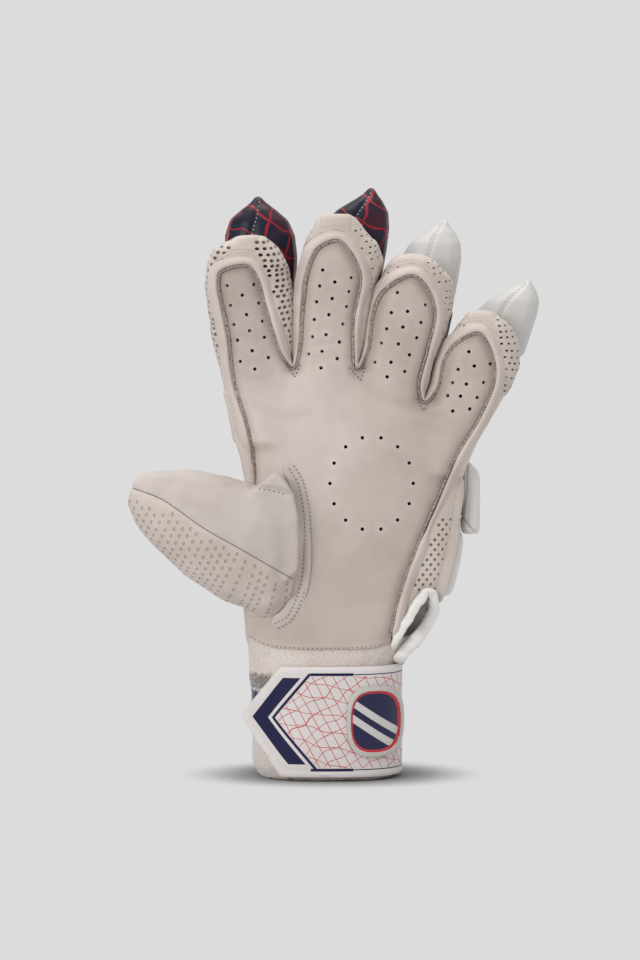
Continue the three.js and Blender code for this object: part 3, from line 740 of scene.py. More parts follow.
def punched_net(edge, holes, radius, pitch):
    """Points and triangles of a flat sheet with round holes, in millimetres."""
    edge = np.asarray(edge, float)
    grid = hexagonal_grid(edge.min(axis=0), edge.max(axis=0), pitch)
    grid = grid[inside(edge, grid[:, 0], grid[:, 1])]
    closed = np.vstack([edge, edge[:1]])
    keep = distance_to(closed, grid[:, 0], grid[:, 1]) > pitch * 0.55
    for x, z in holes:
        keep &= np.hypot(grid[:, 0] - x, grid[:, 1] - z) > radius + pitch * 0.45
    places = [tuple(p) for p in edge]
    lines = [(i, (i + 1) % len(edge)) for i in range(len(edge))]
    for x, z in holes:
        first = len(places)
        places += [(x + radius * math.cos(turn), z + radius * math.sin(turn)) for turn in around(HOLE_SIDES)]
        lines += [(first + i, first + (i + 1) % HOLE_SIDES) for i in range(HOLE_SIDES)]
    places += [tuple(p) for p in grid[keep]]
    net = delaunay_2d_cdt([Vector(p) for p in places], lines, [], 0, 1e-6)
    points, faces = np.array([tuple(p) for p in net[0]]), np.array([f for f in net[2] if len(f) == 3])
    middle = points[faces].mean(axis=1)
    good = inside(edge, middle[:, 0], middle[:, 1])
    for x, z in holes:
        good &= np.hypot(middle[:, 0] - x, middle[:, 1] - z) > radius * 0.97
    return points, faces[good]


def turned_to_camera(flat, faces):
    """The triangles of a flat net, wound so that they face -Y, and their area."""
    a, b, c = (flat[faces[:, i]] for i in range(3))
    area = np.cross(b - a, c - a) / 2
    faces[area < 0] = faces[area < 0][:, ::-1]
    return faces, np.abs(area).sum()


# %% Palm leather
def palm_relief(x, z):
    """How far the leather lies behind the height map, in millimetres."""
    away = distance_to(outline, x, z)
    relief = 0.5 + 1.9 * np.exp(-((away - 1.5) / 3.0) ** 2)
    top = np.clip((z - 200) / 40, 0, 1)
    relief = relief + 0.9 * top * np.exp(-((away - 2) / 4.5) ** 2)
    for line, width, depth in creases:
        relief = relief + 1.5 * depth * np.exp(-((distance_to(smooth_line(line, 6), x, z) / width) ** 2))
    waves = [noise.noise(Vector((px / 17, pz / 26, 3.1))) + 0.5 * noise.noise(Vector((px / 7, pz / 11, 8.4)))
             for px, pz in zip(x, z)]
    return relief - 0.35 * np.array(waves)


def make_palm():
    ways = side_ways(palm_edge)
    ways[np.hypot(*(palm_edge - np.roll(palm_edge, 1, axis=0)).T) > 3.0] = 0.0
    shrink = palm_edge + ways * 0.9
    holes = [hole for group in vents.values() for hole in group]
    flat, faces = punched_net(shrink, holes, VENT_RADIUS, 1.9)
    x, z = flat[:, 0], flat[:, 1]
    fx, fz = (x + SHIFT[0]) * MM, z * MM
    points = np.stack([fx, front(fx, fz) + palm_relief(x, z) * MM, fz], axis=1)
    faces, area = turned_to_camera(flat, faces)
    sheet = mesh_from("palm_leather", points, faces)
    thick = modified(sheet, "SOLIDIFY", thickness=1.3 * MM, offset=-1.0, use_even_offset=False)
    piece = show("palm_leather_panel", thick, palm_finish, "palm_leather", ["palm_leather"], 60.0)


make_palm()

# %% [markdown]
# ## The raised lip and its raw edge
# The palm leather and the finger gussets are sewn together and turned out, which leaves a rounded lip that
# stands up towards the viewer, with the rough cut edge of the leather just inside it. A small section swept
# along the outline gives both, and its height follows the height map.

# %% Swept sections
def swept(name, line, section, depth_of, scale=None, room=None):
    """A closed section swept along a line in X and Z. The section has steps outward and towards the viewer.
    scale makes it smaller in places, and room is the most that it may reach outward."""
    outward = -side_ways(line)
    base = depth_of(line)
    points, size = [], len(section)
    for i, (x, z) in enumerate(line):
        taper = min(1.0, 0.25 + min(i, len(line) - 1 - i) / 4) * (1.0 if scale is None else scale[i])
        reach = 1.0 if room is None else min(1.0, room[i] / max(out for out, up in section))
        for out, up in section:
            step = out * taper * (reach if out > 0 else 1.0)
            fx, fz = x + outward[i, 0] * step + SHIFT[0], z + outward[i, 1] * step
            points.append((fx * MM, base[i] - up * taper * MM, fz * MM))
    return outside_out(mesh_from(name, points, tube_faces(0, size, len(line))))


def even(values, rounds):
    """A row of numbers, smoothed along itself."""
    values = np.array(values, float)
    for _ in range(rounds):
        values[1:-1] = (values[:-2] + 2 * values[1:-1] + values[2:]) / 4
    return values


def map_depth(line):
    return even(front((line[:, 0] + SHIFT[0]) * MM, line[:, 1] * MM), 12)


# %% Lip and raw edge
lip_section = [(-1.1, -2.6), (-1.35, 0.4), (-1.25, 1.7), (-0.75, 2.5), (0.0, 2.75), (0.8, 2.35), (1.6, 1.4),
               (2.6, 0.3), (3.6, -1.0), (3.2, -3.4)]
raw_section = [(-1.0, -2.6), (-0.95, -1.0), (-0.6, -0.55), (0.1, -0.2), (0.6, 0.1), (0.8, -2.6)]


def lip_line(low_left, low_right):
    """The outline from a level on the thumb side to a level on the outer side."""
    top = np.argmax(outline[:, 1])
    left = [p for p in outline[:top] if p[1] > low_left]
    right = [p for p in outline[top:] if p[1] > low_right]
    return np.array(left + right)


# Vector noise is offset by a seed that Blender takes from the clock, unless one is set.
noise.seed_set(11)


def rough(mesh, amount, size, seed):
    points = points_of(mesh)
    for i, p in enumerate(points):
        push = noise.noise_vector(Vector(p) / (size * MM) + Vector((seed, 0, 0)))
        points[i] += np.array(push) * amount * MM
    set_points(mesh, points)
    return mesh


def room_outward(line):
    """Half the way to the next stretch of the same line on its outer side, for each point."""
    most = 3.6
    outward = -side_ways(line)
    room = np.full(len(line), most)
    for i, point in enumerate(line):
        step = line - point
        ahead, aside = step @ outward[i], np.abs(step @ np.array([outward[i][1], -outward[i][0]]))
        facing = (ahead > 0.05) & (aside < 1.3) & (np.abs(np.arange(len(line)) - i) > 2)
        if facing.any():
            room[i] = min(most, max(ahead[facing].min() / 2 - 0.1, 0.25))
    return even(room, 2)


def make_lip():
    line = lip_line(146.5, 70)
    right = line[:, 0] > 45
    fade = np.where(right, np.clip((line[:, 1] - 118) / 45, 0, 1), 1.0)
    scale = even(0.38 + 0.62 * fade, 6)
    room = room_outward(line)
    lip = swept("lip", line, lip_section, map_depth, scale, room)
    show("lip", relax(rough(lip, 0.22, 6.0, 1.0), 1), lip_finish, "palm_leather", ["welt"])
    inner = line + side_ways(line) * 1.8
    tight = np.hypot(*np.gradient(inner, axis=0).T) > 0.35
    for start, stop in stretches(tight):
        if stop - start > 8:
            piece = resampled(inner[start:stop], 0.7)
            # The raw edge is widest on left-facing stretches: the real cut edge, widened as painted shade
            # where the lip shades the panel.
            leftness = even(side_ways(piece)[:, 0], 6)
            edge = swept("raw_edge", piece, raw_section, map_depth, 0.72 + 0.34 * leftness)
            show(f"raw_edge_{start}", rough(edge, 0.35, 0.8, 4.0), raw_finish, "palm_leather")


def stretches(flags):
    """The runs of true values, as starts and stops."""
    edges = np.flatnonzero(np.diff(np.concatenate([[0], flags.astype(int), [0]])))
    return list(zip(edges[::2], edges[1::2]))


make_lip()

# %% [markdown]
# ## Finger gussets
# Each finger is a tube of perforated leather behind the palm sheet. The tube and its front wall are relaxed
# together, so the rim runs on smoothly, and only then is the front cut away along the outline. The
# perforations are thin rods taken out along the direction in which the surface faces.

# %% Regions of the fingers
crotch_level, little_crotch = 203.5, 188.5
split_index = [(-19.8, crotch_level), (-19.2, 226), (-19.3, 300)]
split_middle = [(13.8, crotch_level), (16.8, 226), (19.8, 241), (25.2, 255), (25.2, 300)]
split_ring = [(46.6, little_crotch), (50.5, 204), (54.5, 214), (61, 224), (61, 300)]
finger_regions = {
    "index": [(-120, crotch_level), *split_index, (-120, 300)],
    "middle": [*reversed(split_index), *split_middle],
    "ring": [*reversed(split_middle), (40, crotch_level), (40, little_crotch), *split_ring],
    "little": [*reversed(split_ring), (120, little_crotch), (120, 300)],
}
finger_axes = {
    "index": [(-37.5, 192), (-39.4, 209), (-40.2, 226), (-41.7, 241), (-42.4, 253), (-42, 266)],
    "middle": [(-3.9, 192), (-2.9, 209), (-1.2, 226), (0.2, 241), (3.2, 254), (2, 271)],
    "ring": [(28.4, 180), (31.4, 204), (35.3, 219), (37.9, 234), (39.6, 246), (38.5, 255)],
    "little": [(56.4, 168), (66.4, 187), (71.5, 202), (73, 214), (73, 227)],
}


def curl(z):
    rise = np.maximum(0, np.asarray(z, float) - 185) / 85
    return -1 - 9 * rise * rise


front_cut = prism(outline, -120, -3)
print("finger regions:", len(finger_regions))

# %% Perforations
ROD_SIDES = 8


def perforation_mesh(places, long_half, short_half, inward=2.6):
    """Oval rods, each at a place, along its normal and turned to its way. They reach that far inward."""
    points, faces = [], []
    for place, normal, way in places:
        normal = normal.normalized()
        across = way.cross(normal).normalized()
        along = normal.cross(across)
        first = len(points)
        for end in (-inward, 2.0):
            for turn in around(ROD_SIDES):
                step = across * long_half * math.cos(turn) + along * short_half * math.sin(turn)
                points.append(place + (step + normal * end) * MM)
        faces += tube_faces(first, ROD_SIDES, 2)
    return outside_out(mesh_from("perforations", points, faces))


def tube_lattice(tree, axis, along_pitch, round_pitch, wanted):
    """Places on a tube in staggered rows. axis is a line of points in the frame."""
    axis = resampled(np.array(axis), along_pitch * MM)
    places = []
    for row, centre in enumerate(axis):
        way = Vector(axis[min(row + 1, len(axis) - 1)] - axis[max(row - 1, 0)]).normalized()
        facing = Vector((0, -1, 0))
        aside = facing.cross(way).normalized()
        facing = way.cross(aside)
        ring = []
        for turn in around(120):
            out = aside * math.sin(turn) + facing * math.cos(turn)
            hit = tree.ray_cast(Vector(centre) + out * 0.07, -out, 0.075)
            ring.append(hit[:2])
        spent = round_pitch * (0.5 if row % 2 else 0.0)
        for (before, _), (place, normal) in zip(ring, ring[1:] + ring[:1]):
            if before is None or place is None:
                continue
            spent += (place - before).length * 1000
            if spent >= round_pitch:
                spent -= round_pitch
                if wanted(place, normal):
                    places.append((place, normal, way))
    return places


def beside_outline(x, z, margin):
    """Whether a place lies outside the palm leather's outline, and that far from it."""
    x, z = np.array([x]), np.array([z])
    return distance_to(outline, x, z)[0] >= margin and not inside(outline, x, z)[0]


def clear_of_outline(place, normal, margin=3.2):
    if normal.y > -0.15:
        return normal.y <= 0.5
    return beside_outline(place.x * 1000 - SHIFT[0], place.z * 1000, margin)


# %% Grooves
def press(mesh, line, width, depth):
    """Presses a groove into the side that the viewer sees, along a line in the tables' X and Z."""
    points, normals = points_of(mesh), normals_of(mesh)
    away = distance_to(np.array(line, float), *table_xz(points))
    push = np.exp(-((away / width) ** 2)) * depth * MM * np.clip(0.35 - normals[:, 1], 0, 1)
    set_points(mesh, points - normals * push[:, None])


# %% Gusset of each finger
tab_patches = {"index": (-50, -39.5), "middle": (-5.5, 8), "ring": (33, 44), "little": (66, 78)}
hood_creases = {
    "index": [([(-58, 255.4), (-50, 259.3), (-41, 259.3), (-34.5, 254)], 0.55, 0.7),
              ([(-51, 260), (-52.5, 268)], 0.5, 0.5), ([(-39, 259.5), (-37, 268)], 0.5, 0.5)],
    "middle": [([(-17, 259), (-9, 268.3), (3, 271.2), (12, 265.5), (17, 258)], 0.55, 0.8),
               ([(-6, 270), (-7, 278)], 0.5, 0.5), ([(8, 270), (9, 277)], 0.5, 0.5)],
    "ring": [([(19, 246), (29, 252.3), (40, 254.5), (49.5, 248)], 0.55, 0.7),
             ([(32, 254), (31, 261)], 0.5, 0.4), ([(45, 252.5), (47, 259)], 0.5, 0.4)],
    "little": [([(54, 217), (63, 224.3), (73, 226), (80.5, 219)], 0.55, 0.7),
               ([(65, 225.5), (65.5, 232)], 0.5, 0.4), ([(78, 223.5), (80, 229)], 0.5, 0.4)],
}
hood_lift = {"index": [(-58, 0), (-47, -1.6), (-36, -1.8), (-30, 0)],
             "middle": [(-18, 0), (-4, 3.2), (7, 3.2), (19, 0)]}
hood_fullness = {"index": (1.3, 0.8), "middle": (0.5, 1.5), "ring": (0.5, 2.2), "little": (0.3, 2.0)}
fold_section = [(-0.8, -0.9), (-0.85, 0.25), (-0.4, 0.55), (0.4, 0.3), (1.3, -0.9)]
perforation_halves = {"index": (1.25, 0.9), "middle": (0.85, 0.5), "ring": (0.85, 0.5), "little": (0.95, 0.6)}


def facing_depth(tree, line):
    """The depth of what the viewer sees at each point of a line. Gaps are filled from both sides."""
    hits = [seen(tree, x, z)[0] for x, z in line]
    good = [i for i, hit in enumerate(hits) if hit is not None]
    return np.interp(np.arange(len(hits)), good, [hits[i].y for i in good])


def faces_viewer(tree, x, z):
    normal = seen(tree, x, z)[1]
    return normal is not None and normal.y < -0.5


def crumple(mesh, amount, size, seed):
    """Soft irregular dents, as leather has after much handling."""
    points, normals = points_of(mesh), normals_of(mesh)
    push = [noise.noise(Vector(p) / (size * MM) + Vector((seed, 0, 0)))
            + 0.5 * noise.noise(Vector(p) / (size * 0.45 * MM) + Vector((0, seed, 0))) for p in points]
    set_points(mesh, points + normals * np.array(push)[:, None] * amount * MM)
    return mesh


def make_gusset(finger):
    below = ["gusset_side"] if finger == "little" else []
    skin = soft_skin([f"gusset_{finger}", "palm_leather", "hand_back", *below], 1.0, 14)
    skin = combine(skin, prism(finger_regions[finger], -120, 120), "INTERSECT")
    crumple(crumple(skin, 0.5, 9.0, len(finger)), 0.22, 3.4, 3.0)
    points, normals = points_of(skin), normals_of(skin)
    left, right = hood_fullness[finger]
    level = np.clip((points[:, 2] / MM - finger_axes[finger][1][1] + 8) / 18, 0, 1)
    fuller = right * np.clip(normals[:, 0], 0, 1) - left * np.clip(-normals[:, 0], 0, 1)
    points[:, 0] += fuller * level * MM
    set_points(skin, points)
    if finger in hood_lift:
        across, lift = np.array(hood_lift[finger], float).T
        x, z = table_xz(points)
        points[:, 2] += np.interp(x, across, lift) * np.clip((z - 258) / 14, 0, 1) * MM
        set_points(skin, points)
    for line, width, depth in hood_creases[finger]:
        press(skin, smooth_line(line, 6), width, depth)
    tree = tree_of(skin)
    axis = [tuple(table_point(x, float(curl(z)), z)) for x, z in finger_axes[finger]]
    low, high = tab_patches[finger]

    def wanted(place, normal):
        on_tab = low - 1.2 < place.x * 1000 < high + 1.2 and normal.y < -0.3
        return clear_of_outline(place, normal) and not on_tab

    places = tube_lattice(tree, axis, 2.9, 3.7, wanted)
    skin = combine(skin, front_cut, "DIFFERENCE")
    skin = combine(skin, perforation_mesh(places, *perforation_halves[finger]), "DIFFERENCE")
    print(finger, "perforations:", len(places))
    fold_line = resampled(smooth_line(hood_creases[finger][0][0], 6), 0.9)
    fold_line = fold_line[[faces_viewer(tree, x, z) for x, z in fold_line]]
    fold = swept("hood_fold", fold_line, fold_section, lambda line: even(facing_depth(tree, line), 3))
    show(f"hood_fold_{finger}", rough(fold, 0.2, 3.0, 5.0), gusset_finish, "mesh_leather")
    show(f"gusset_{finger}_skin", skin, gusset_finish, "mesh_leather", [f"gusset_{finger}"], 50.0)


for finger in finger_regions:
    make_gusset(finger)

# %% [markdown]
# ## Stitches
# Thread is small but catches the eye, so each stitch is a short rounded bead of its own. One helper lays a
# row of them along a line, on whatever surface the line runs over.

# %% Stitches
def row_of_stitches(name, line, depth_of, finish, slot, pitch, length, radius, lift):
    """Stitches on a line, raised by the lift. A negative lift lets them sink in."""
    line = resampled(np.array(line, float), pitch / 4)
    depth = depth_of(line)
    path = np.stack([(line[:, 0] + SHIFT[0]) * MM, depth - lift * MM, line[:, 1] * MM], axis=1)
    points, faces = [], []
    rings = [(-0.5, 0.35), (-0.3, 1.0), (0.3, 1.0), (0.5, 0.35)]
    for i in range(2, len(path) - 2, 4):
        way = Vector(path[i + 1] - path[i - 1]).normalized()
        out = Vector((0, -1, 0))
        out = (out - way * out.dot(way)).normalized()
        across = way.cross(out)
        first = len(points)
        for share, size in rings:
            centre = Vector(path[i]) + way * (share * length * MM)
            for turn in around(6):
                aside = across * math.cos(turn) * 1.2 + out * math.sin(turn)
                points.append(centre + aside * radius * size * MM)
        faces += tube_faces(first, 6, len(rings))
    show(name, outside_out(mesh_from(name, points, faces)), finish, slot)


crotch_stitches = {
    "index_middle": [(-23.6, 205.5), (-21.6, 201.6), (-19.4, 198.2), (-17.8, 201.4), (-16.4, 205.5)],
    "middle_ring": [(7.6, 203.2), (10.2, 199.6), (13.1, 196.8), (14.2, 200), (15.8, 204)],
    "ring_little": [(40.6, 188.2), (42.2, 184.6), (44.3, 181.8), (46.1, 184.8), (47.7, 188.2)],
}
for crotch, line in crotch_stitches.items():
    name = f"crotch_stitches_{crotch}"
    row_of_stitches(name, line, map_depth, dark_thread, "palm_leather", 1.9, 0.8, 0.3, -0.3)
hem_stitches = hem_line[4:-4] + (0, 1.5)
row_of_stitches("hem_stitches", hem_stitches, map_depth, seam_thread, "palm_leather", 2.2, 1.2, 0.2, -0.35)

# %% [markdown]
# ## The thumb
# The thumb is sewn from a smooth upper piece and a perforated lower one. Both are relaxed as one form and
# then parted along the seam, so the surface runs on from one to the other. A stitched flange holds its base
# to the palm, and a small fold of leather forms the web above it.

# %% Thumb
thumb_seam = [(-125, 152), (-97, 144), (-83.8, 139.2), (-63.2, 125.4), (-43.6, 114.2), (-10, 94)]
thumb_stations = [(-20, 113.5, -14), (-29, 112.5, -16), (-43.6, 116.1, -19), (-63.2, 125, -21),
                  (-80.4, 132.8, -22), (-92.6, 138.7, -22), (-98.5, 141.2, -22)]
seam_line = smooth_line(thumb_seam, 8)
thumb_dents = [([(-84, 141), (-80, 148), (-76, 156)], 4.5, 1.3),
               ([(-35, 146), (-28, 132), (-24, 118)], 5, 0.8)]
web_fold = [(-41, 145.6), (-34, 145.2), (-27, 144), (-21, 142.4)]
web = [(-41, 143.5), (-34.3, 148), (-28.9, 153), (-24.5, 148.5), (-20, 142), (-17.4, 130), (-16.9, 118),
       (-17.6, 104), (-24, 98), (-30, 120)]


def make_thumb():
    form = remeshed(solids_mesh("thumb_leather", "thumb_mesh"), 0.95)
    form = relax(remeshed(combine(form, prism(web, -34.5, -22), "UNION"), 0.95), 16)
    crumple(form, 0.5, 13.0, 2.0)
    points, normals = points_of(form), normals_of(form)
    x = table_xz(points)[0]
    lift = 3.2 * np.exp(-(((x + 76) / 24) ** 2)) + 1.8 * np.clip((-85 - x) / 12, 0, 1)
    points[:, 2] += np.clip(normals[:, 2] + 0.2, 0, 1) * lift * MM
    set_points(form, points)
    for line, width, depth in [*thumb_dents, (seam_line, 0.9, 0.7), (web_fold, 1.0, 1.1)]:
        press(form, smooth_line(line, 6), width, depth)
    above = prism([*seam_line, (-10, 200), (-125, 200)], -120, 120)
    below = prism([*(seam_line - (0, 0.4)), (-10, 20), (-125, 20)], -120, 120)
    upper = combine(form, above, "INTERSECT")
    tree = tree_of(form)

    def wanted(place, normal):
        x, z = place.x * 1000 - SHIFT[0], place.z * 1000
        under = z < np.interp(x, seam_line[:, 0], seam_line[:, 1]) - 2.6
        return under and x < -19.5 and normal.y < (0.55 if x < -36 else -0.4)

    axis = [tuple(table_point(x, y, z)) for x, z, y in thumb_stations]
    places = tube_lattice(tree, axis, 3.5, 4.0, wanted)
    lower = combine(form, below, "INTERSECT")
    lower = combine(lower, perforation_mesh(places, 1.1, 0.9, 0.5), "DIFFERENCE")
    print("thumb perforations:", len(places))
    show("thumb_smooth", upper, thumb_finish, "palm_leather", ["thumb_leather"], 50.0)
    show("thumb_perforated", lower, gusset_finish, "mesh_leather", ["thumb_mesh"], 50.0)
    return tree


thumb_tree = make_thumb()

# %% Flange of the thumb
seam_section = [(-0.7, -2.2), (-0.7, -1.0), (0.7, -1.0), (0.7, -2.2)]
flange_section = [(3.5, -1.4), (3.5, -0.3), (3.0, 0.05), (0.6, 0.15), (-1.6, 0.25), (-3.4, 0.3), (-4.4, 0.2),
                  (-5.0, -1.4)]
flange_line = smooth_line([(-24, 155.6), (-18.9, 149), (-16, 136), (-14.8, 122), (-15.2, 100), (-18.4, 88),
                           (-23, 80.6), (-30.4, 76.3)], 6)
outer_stitches = smooth_line([(-20.1, 155.3), (-15.2, 147), (-12.5, 135), (-11.5, 123.7), (-12, 112.7),
                              (-12.9, 99.5), (-16.2, 88.2), (-21.1, 78.9), (-28.4, 74.5)], 6)


def on_thumb(line):
    return even(facing_depth(thumb_tree, line), 2)


def make_thumb_seams():
    visible = seam_line[(seam_line[:, 0] > -97) & (seam_line[:, 0] < -19)] - (0, 0.2)
    seam = swept("thumb_seam", resampled(visible, 1.2), seam_section, on_thumb)
    show("thumb_seam", seam, dark_thread, "palm_leather")
    flange = swept("thumb_flange", resampled(flange_line, 1.2), flange_section, map_depth)
    show("thumb_flange", relax(rough(flange, 0.18, 5.0, 3.0), 1), thumb_finish, "palm_leather")
    inner = outer_stitches + side_ways(outer_stitches) * 2.7
    for name, line in (("flange_stitches_outer", outer_stitches), ("flange_stitches_inner", inner)):
        row_of_stitches(name, line, map_depth, seam_thread, "palm_leather", 2.0, 0.9, 0.26, 0.45)
    along_web = [(-37.5, 144.2), (-32, 143.6), (-26.5, 142.4), (-22.5, 141.2)]
    row_of_stitches("web_stitches", along_web, on_thumb, seam_thread, "palm_leather", 2.4, 1.2, 0.26, 0.05)


make_thumb_seams()

# %% [markdown]
# ## The sides and the back of the hand
# The side panel below the little finger is perforated like the gussets, and the wall behind carries the
# padding rolls. They are relaxed with the palm's front wall and then cut out of it.

# %% Side panel and back wall
slit_rows = [(46.6, 90, 0.8), (42.7, 80, 2.2), (38.3, 72, 2.6), (31.8, 65, 2.4), (27.5, 56, 2.4)]
slit_ribbon = [(x - h, z) for x, z, h in slit_rows] + [(x + h, z) for x, z, h in reversed(slit_rows)]


def make_hand_wall():
    form = soft_skin(["gusset_side", "hand_back", "palm_leather", "gusset_index", "gusset_little"], 1.1, 15)
    below = [(-120, 40), (120, 40), (120, little_crotch), (47, little_crotch), (40, 204), (-120, 204)]
    form = combine(form, prism(below, -120, 120), "INTERSECT")
    form = combine(form, front_cut, "DIFFERENCE")
    form = combine(form, prism(slit_ribbon, -120, -3), "DIFFERENCE")
    side_space = prism([(20, 40), (120, 40), (120, little_crotch), (20, little_crotch)], -120, 0)
    side = combine(form, side_space, "INTERSECT")
    tree = tree_of(side)
    places = []
    for row, z in enumerate(np.arange(93.5, 128, 2.45)):
        for x in np.arange(38 + (1.95 if row % 2 else 0), 82, 3.9):
            place, normal = seen(tree, x, z)
            if place is not None and normal.y <= -0.25 and beside_outline(x, z, 3.6):
                places.append((place, normal, Vector((0, 0, 1))))
    side = combine(side, perforation_mesh(places, 0.98, 0.86, 1.6), "DIFFERENCE")
    back = combine(form, side_space, "DIFFERENCE")
    thumb_side = prism([(-120, 40), (-20, 40), (-20, 204), (-120, 204)], -120, 22)
    edge_wall = combine(back, thumb_side, "INTERSECT")
    back = combine(back, thumb_side, "DIFFERENCE")
    print("side perforations:", len(places))
    show("gusset_side_skin", side, lit_side_finish, "mesh_leather", ["gusset_side"], 50.0)
    show("thumb_side_wall", edge_wall, gusset_finish, "palm_leather", ["hand_back"], 50.0)
    show("hand_back_wall", back, white_finish, "white_padding", ["hand_back"], 50.0)


make_hand_wall()

# %% [markdown]
# ## Padding
# The rolls, the pointed fingertip caps and the side blocks are foam in a sewn cover. Each is relaxed into a
# plump form and swollen a little, and its seams are pressed in afterwards as grooves, because a remesh would
# lose them.

# %% Padded pieces
def padded_piece(node, finish, slot, voxel=0.95, rounds=7, grow=0.3, grooves=(), shape=None):
    mesh = soft_skin([node], voxel, rounds, grow)
    if shape:
        set_points(mesh, shape(points_of(mesh)))
    for line, width, depth in grooves:
        press(mesh, line, width, depth)
    piece = show(node + "_cover", mesh, finish, slot, [node], 60.0)
    return mesh


# %% Fingertip caps
cap_seams = {
    "index": [(-37.7, 287), (-38.6, 279), (-40.6, 271), (-42.5, 262)],
    "middle": [(18.6, 291), (15, 284), (11, 278), (8, 270)],
    "ring": [(54.9, 275.5), (51.5, 271), (48.5, 264), (45.5, 254)],
    "little": [(96.5, 245.5), (91, 240), (85.5, 234), (81, 226)],
}
cap_finishes = {
    "index": (lined_navy_finish, "navy_padding", white_thread),
    "middle": (lined_navy_finish, "navy_padding", white_thread),
    "ring": (white_finish, "white_padding", white_thread),
    "little": (white_finish, "white_padding", white_thread),
}
left_fullness = {"index": 1.4, "middle": 2.4, "ring": 0.8, "little": 0.8}


def pointed(apex, fullness):
    """A shape for a cap: a small nub at its point and a fuller left side."""
    def shape(points):
        x, z = table_xz(points)
        nub = 1.5 * np.exp(-((np.hypot(x - apex[0], z - apex[1]) / 2.3) ** 2))
        nub -= 1.4 * np.clip((z - apex[1] + 14) / 10, 0, 1)
        aside = np.clip((apex[0] - x) / 12, 0, 1) * np.clip((apex[1] - 2 - z) / 8, 0, 1)
        points[:, 0] -= fullness * aside * MM
        palm_side = np.clip((17 - points[:, 1] / MM) / 6, 0, 1)
        points[:, 2] += (nub - 4.5 * palm_side * np.clip((apex[1] - 33 - z) / 9, 0, 1)) * MM
        return points
    return shape


def make_caps():
    for finger, seam in cap_seams.items():
        finish, slot, stitch = cap_finishes[finger]
        line = smooth_line(seam, 6)
        shape = pointed(seam[0], left_fullness[finger])
        cap = padded_piece(f"cap_{finger}", finish, slot, 0.8, 8, 0.35, [(line, 0.9, 0.8)], shape)
        tree = tree_of(cap)
        beside = resampled(line, 1.0)[2:] + np.array([0.9, 0])
        row_of_stitches(f"cap_{finger}_stitches", beside, lambda l: facing_depth(tree, l), stitch, slot,
                        2.0, 1.0, 0.2, 0.1)


make_caps()

# %% Rolls and side blocks
def drawn_in(points):
    """The low end of the outer roll, drawn in towards the hand."""
    share = np.clip((196 * MM - points[:, 2]) / (30 * MM), 0, 1)
    points[:, 0] -= share * np.clip((points[:, 0] - 55 * MM) / (20 * MM), 0, 1) * 7 * MM
    return points


def slanted(points):
    """The lower block, narrower and further in at its low end."""
    share = np.clip((116 * MM - points[:, 2]) / (27 * MM), 0, 1)
    points[:, 0] -= share ** 1.5 * 5.5 * MM
    return points


def bevelled(points):
    """The upper block, with its outer top corner cut off."""
    x, z = table_xz(points)
    points[:, 2] -= np.clip((x - 67) / 5, 0, 1) * np.clip((z - 144) / 9, 0, 1) * 5 * MM
    return points


side_fold = [(56, 152), (62, 151), (64.6, 146.5), (63.6, 134.8), (62.2, 126), (62.4, 118), (60.8, 110),
             (58.6, 100), (56, 92.6), (52.5, 86), (48, 90), (50, 105), (54, 125)]
thumb_fold = [(-54.5, 192), (-51.8, 177.4), (-48.4, 166), (-46, 157.8), (-43.9, 148), (-43, 136), (-38, 136),
              (-40, 155), (-44, 175), (-47, 192)]


def make_leather_fold(name, edge, front_side, back_side, slot):
    """A loose fold of leather over the side of the hand, closed and lightly filled."""
    fold = relax(remeshed(prism(edge, front_side, back_side), 0.9), 12)
    piece = show(name, crumple(fold, 0.5, 9.0, 6.0), gusset_finish, slot, [], 60.0)


def make_rolls():
    whites = [f"roll_{finger}_base" for finger in ("index", "middle", "ring")]
    whites += [f"hand_roll_{i}" for i in (1, 2, 3, 4)]
    for node in whites:
        padded_piece(node, white_finish, "white_padding")
    for node in ("thumb_roll_tip", "thumb_roll_base"):
        padded_piece(node, white_finish, "white_padding", grow=-0.7)
    for node in ("roll_index_middle", "roll_middle_middle", "roll_ring_middle"):
        padded_piece(node, navy_finish, "navy_padding", grow=0.7)
    padded_piece("roll_little_middle", navy_finish, "navy_padding", shape=drawn_in)
    upper_folds = [([(63.6, 127.4), (66.5, 124), (70.5, 120)], 0.7, 1.2),
                   ([(65.6, 154), (65.2, 140), (63.6, 127.4)], 0.7, 0.9)]
    padded_piece("side_block_upper", lit_block_finish, "white_padding", 0.6, 3, 0.3, upper_folds, bevelled)
    padded_piece("side_block_lower", lit_block_finish, "white_padding", 0.7, 3, 0.3, shape=slanted)
    make_leather_fold("side_fold", side_fold, -9.5, 12, "mesh_leather")
    make_leather_fold("thumb_side_fold", thumb_fold, -15, 2, "palm_leather")
    padded_piece("cuff_pad", navy_finish, "navy_padding", 1.3, 6, 0.2)


make_rolls()

# %% [markdown]
# ## Cuff
# The towelling tube is knitted with loops, so its surface is all small knobs. They are pushed out of a fine
# net, a cell at a time. The binding of the wrist slit is a puffy folded strip.

# %% Towelling
def make_wristband():
    band = soft_skin(["wristband"], 0.9, 10, 0.3)
    points, normals = points_of(band), normals_of(band)
    beside = np.clip((-30 - points[:, 0] / MM) / 8, 0, 1) * np.clip((points[:, 2] / MM - 40) / 8, 0, 1)
    points[:, 0] -= beside * 1.4 * MM
    lift = np.empty(len(points))
    for i, p in enumerate(points):
        where = Vector(p) * 1000
        knob = noise.voronoi(where / 1.7)[0][0]
        slow = noise.noise(where / 14)
        lift[i] = (0.45 - knob) * 0.55 + slow * 0.5
    knobbly = points + normals * lift[:, None] * MM
    knobbly[:, 2] = np.maximum(knobbly[:, 2], 0.0)
    set_points(band, knobbly)
    piece = show("wristband_towelling", band, towel_finish, "towelling", ["wristband"])


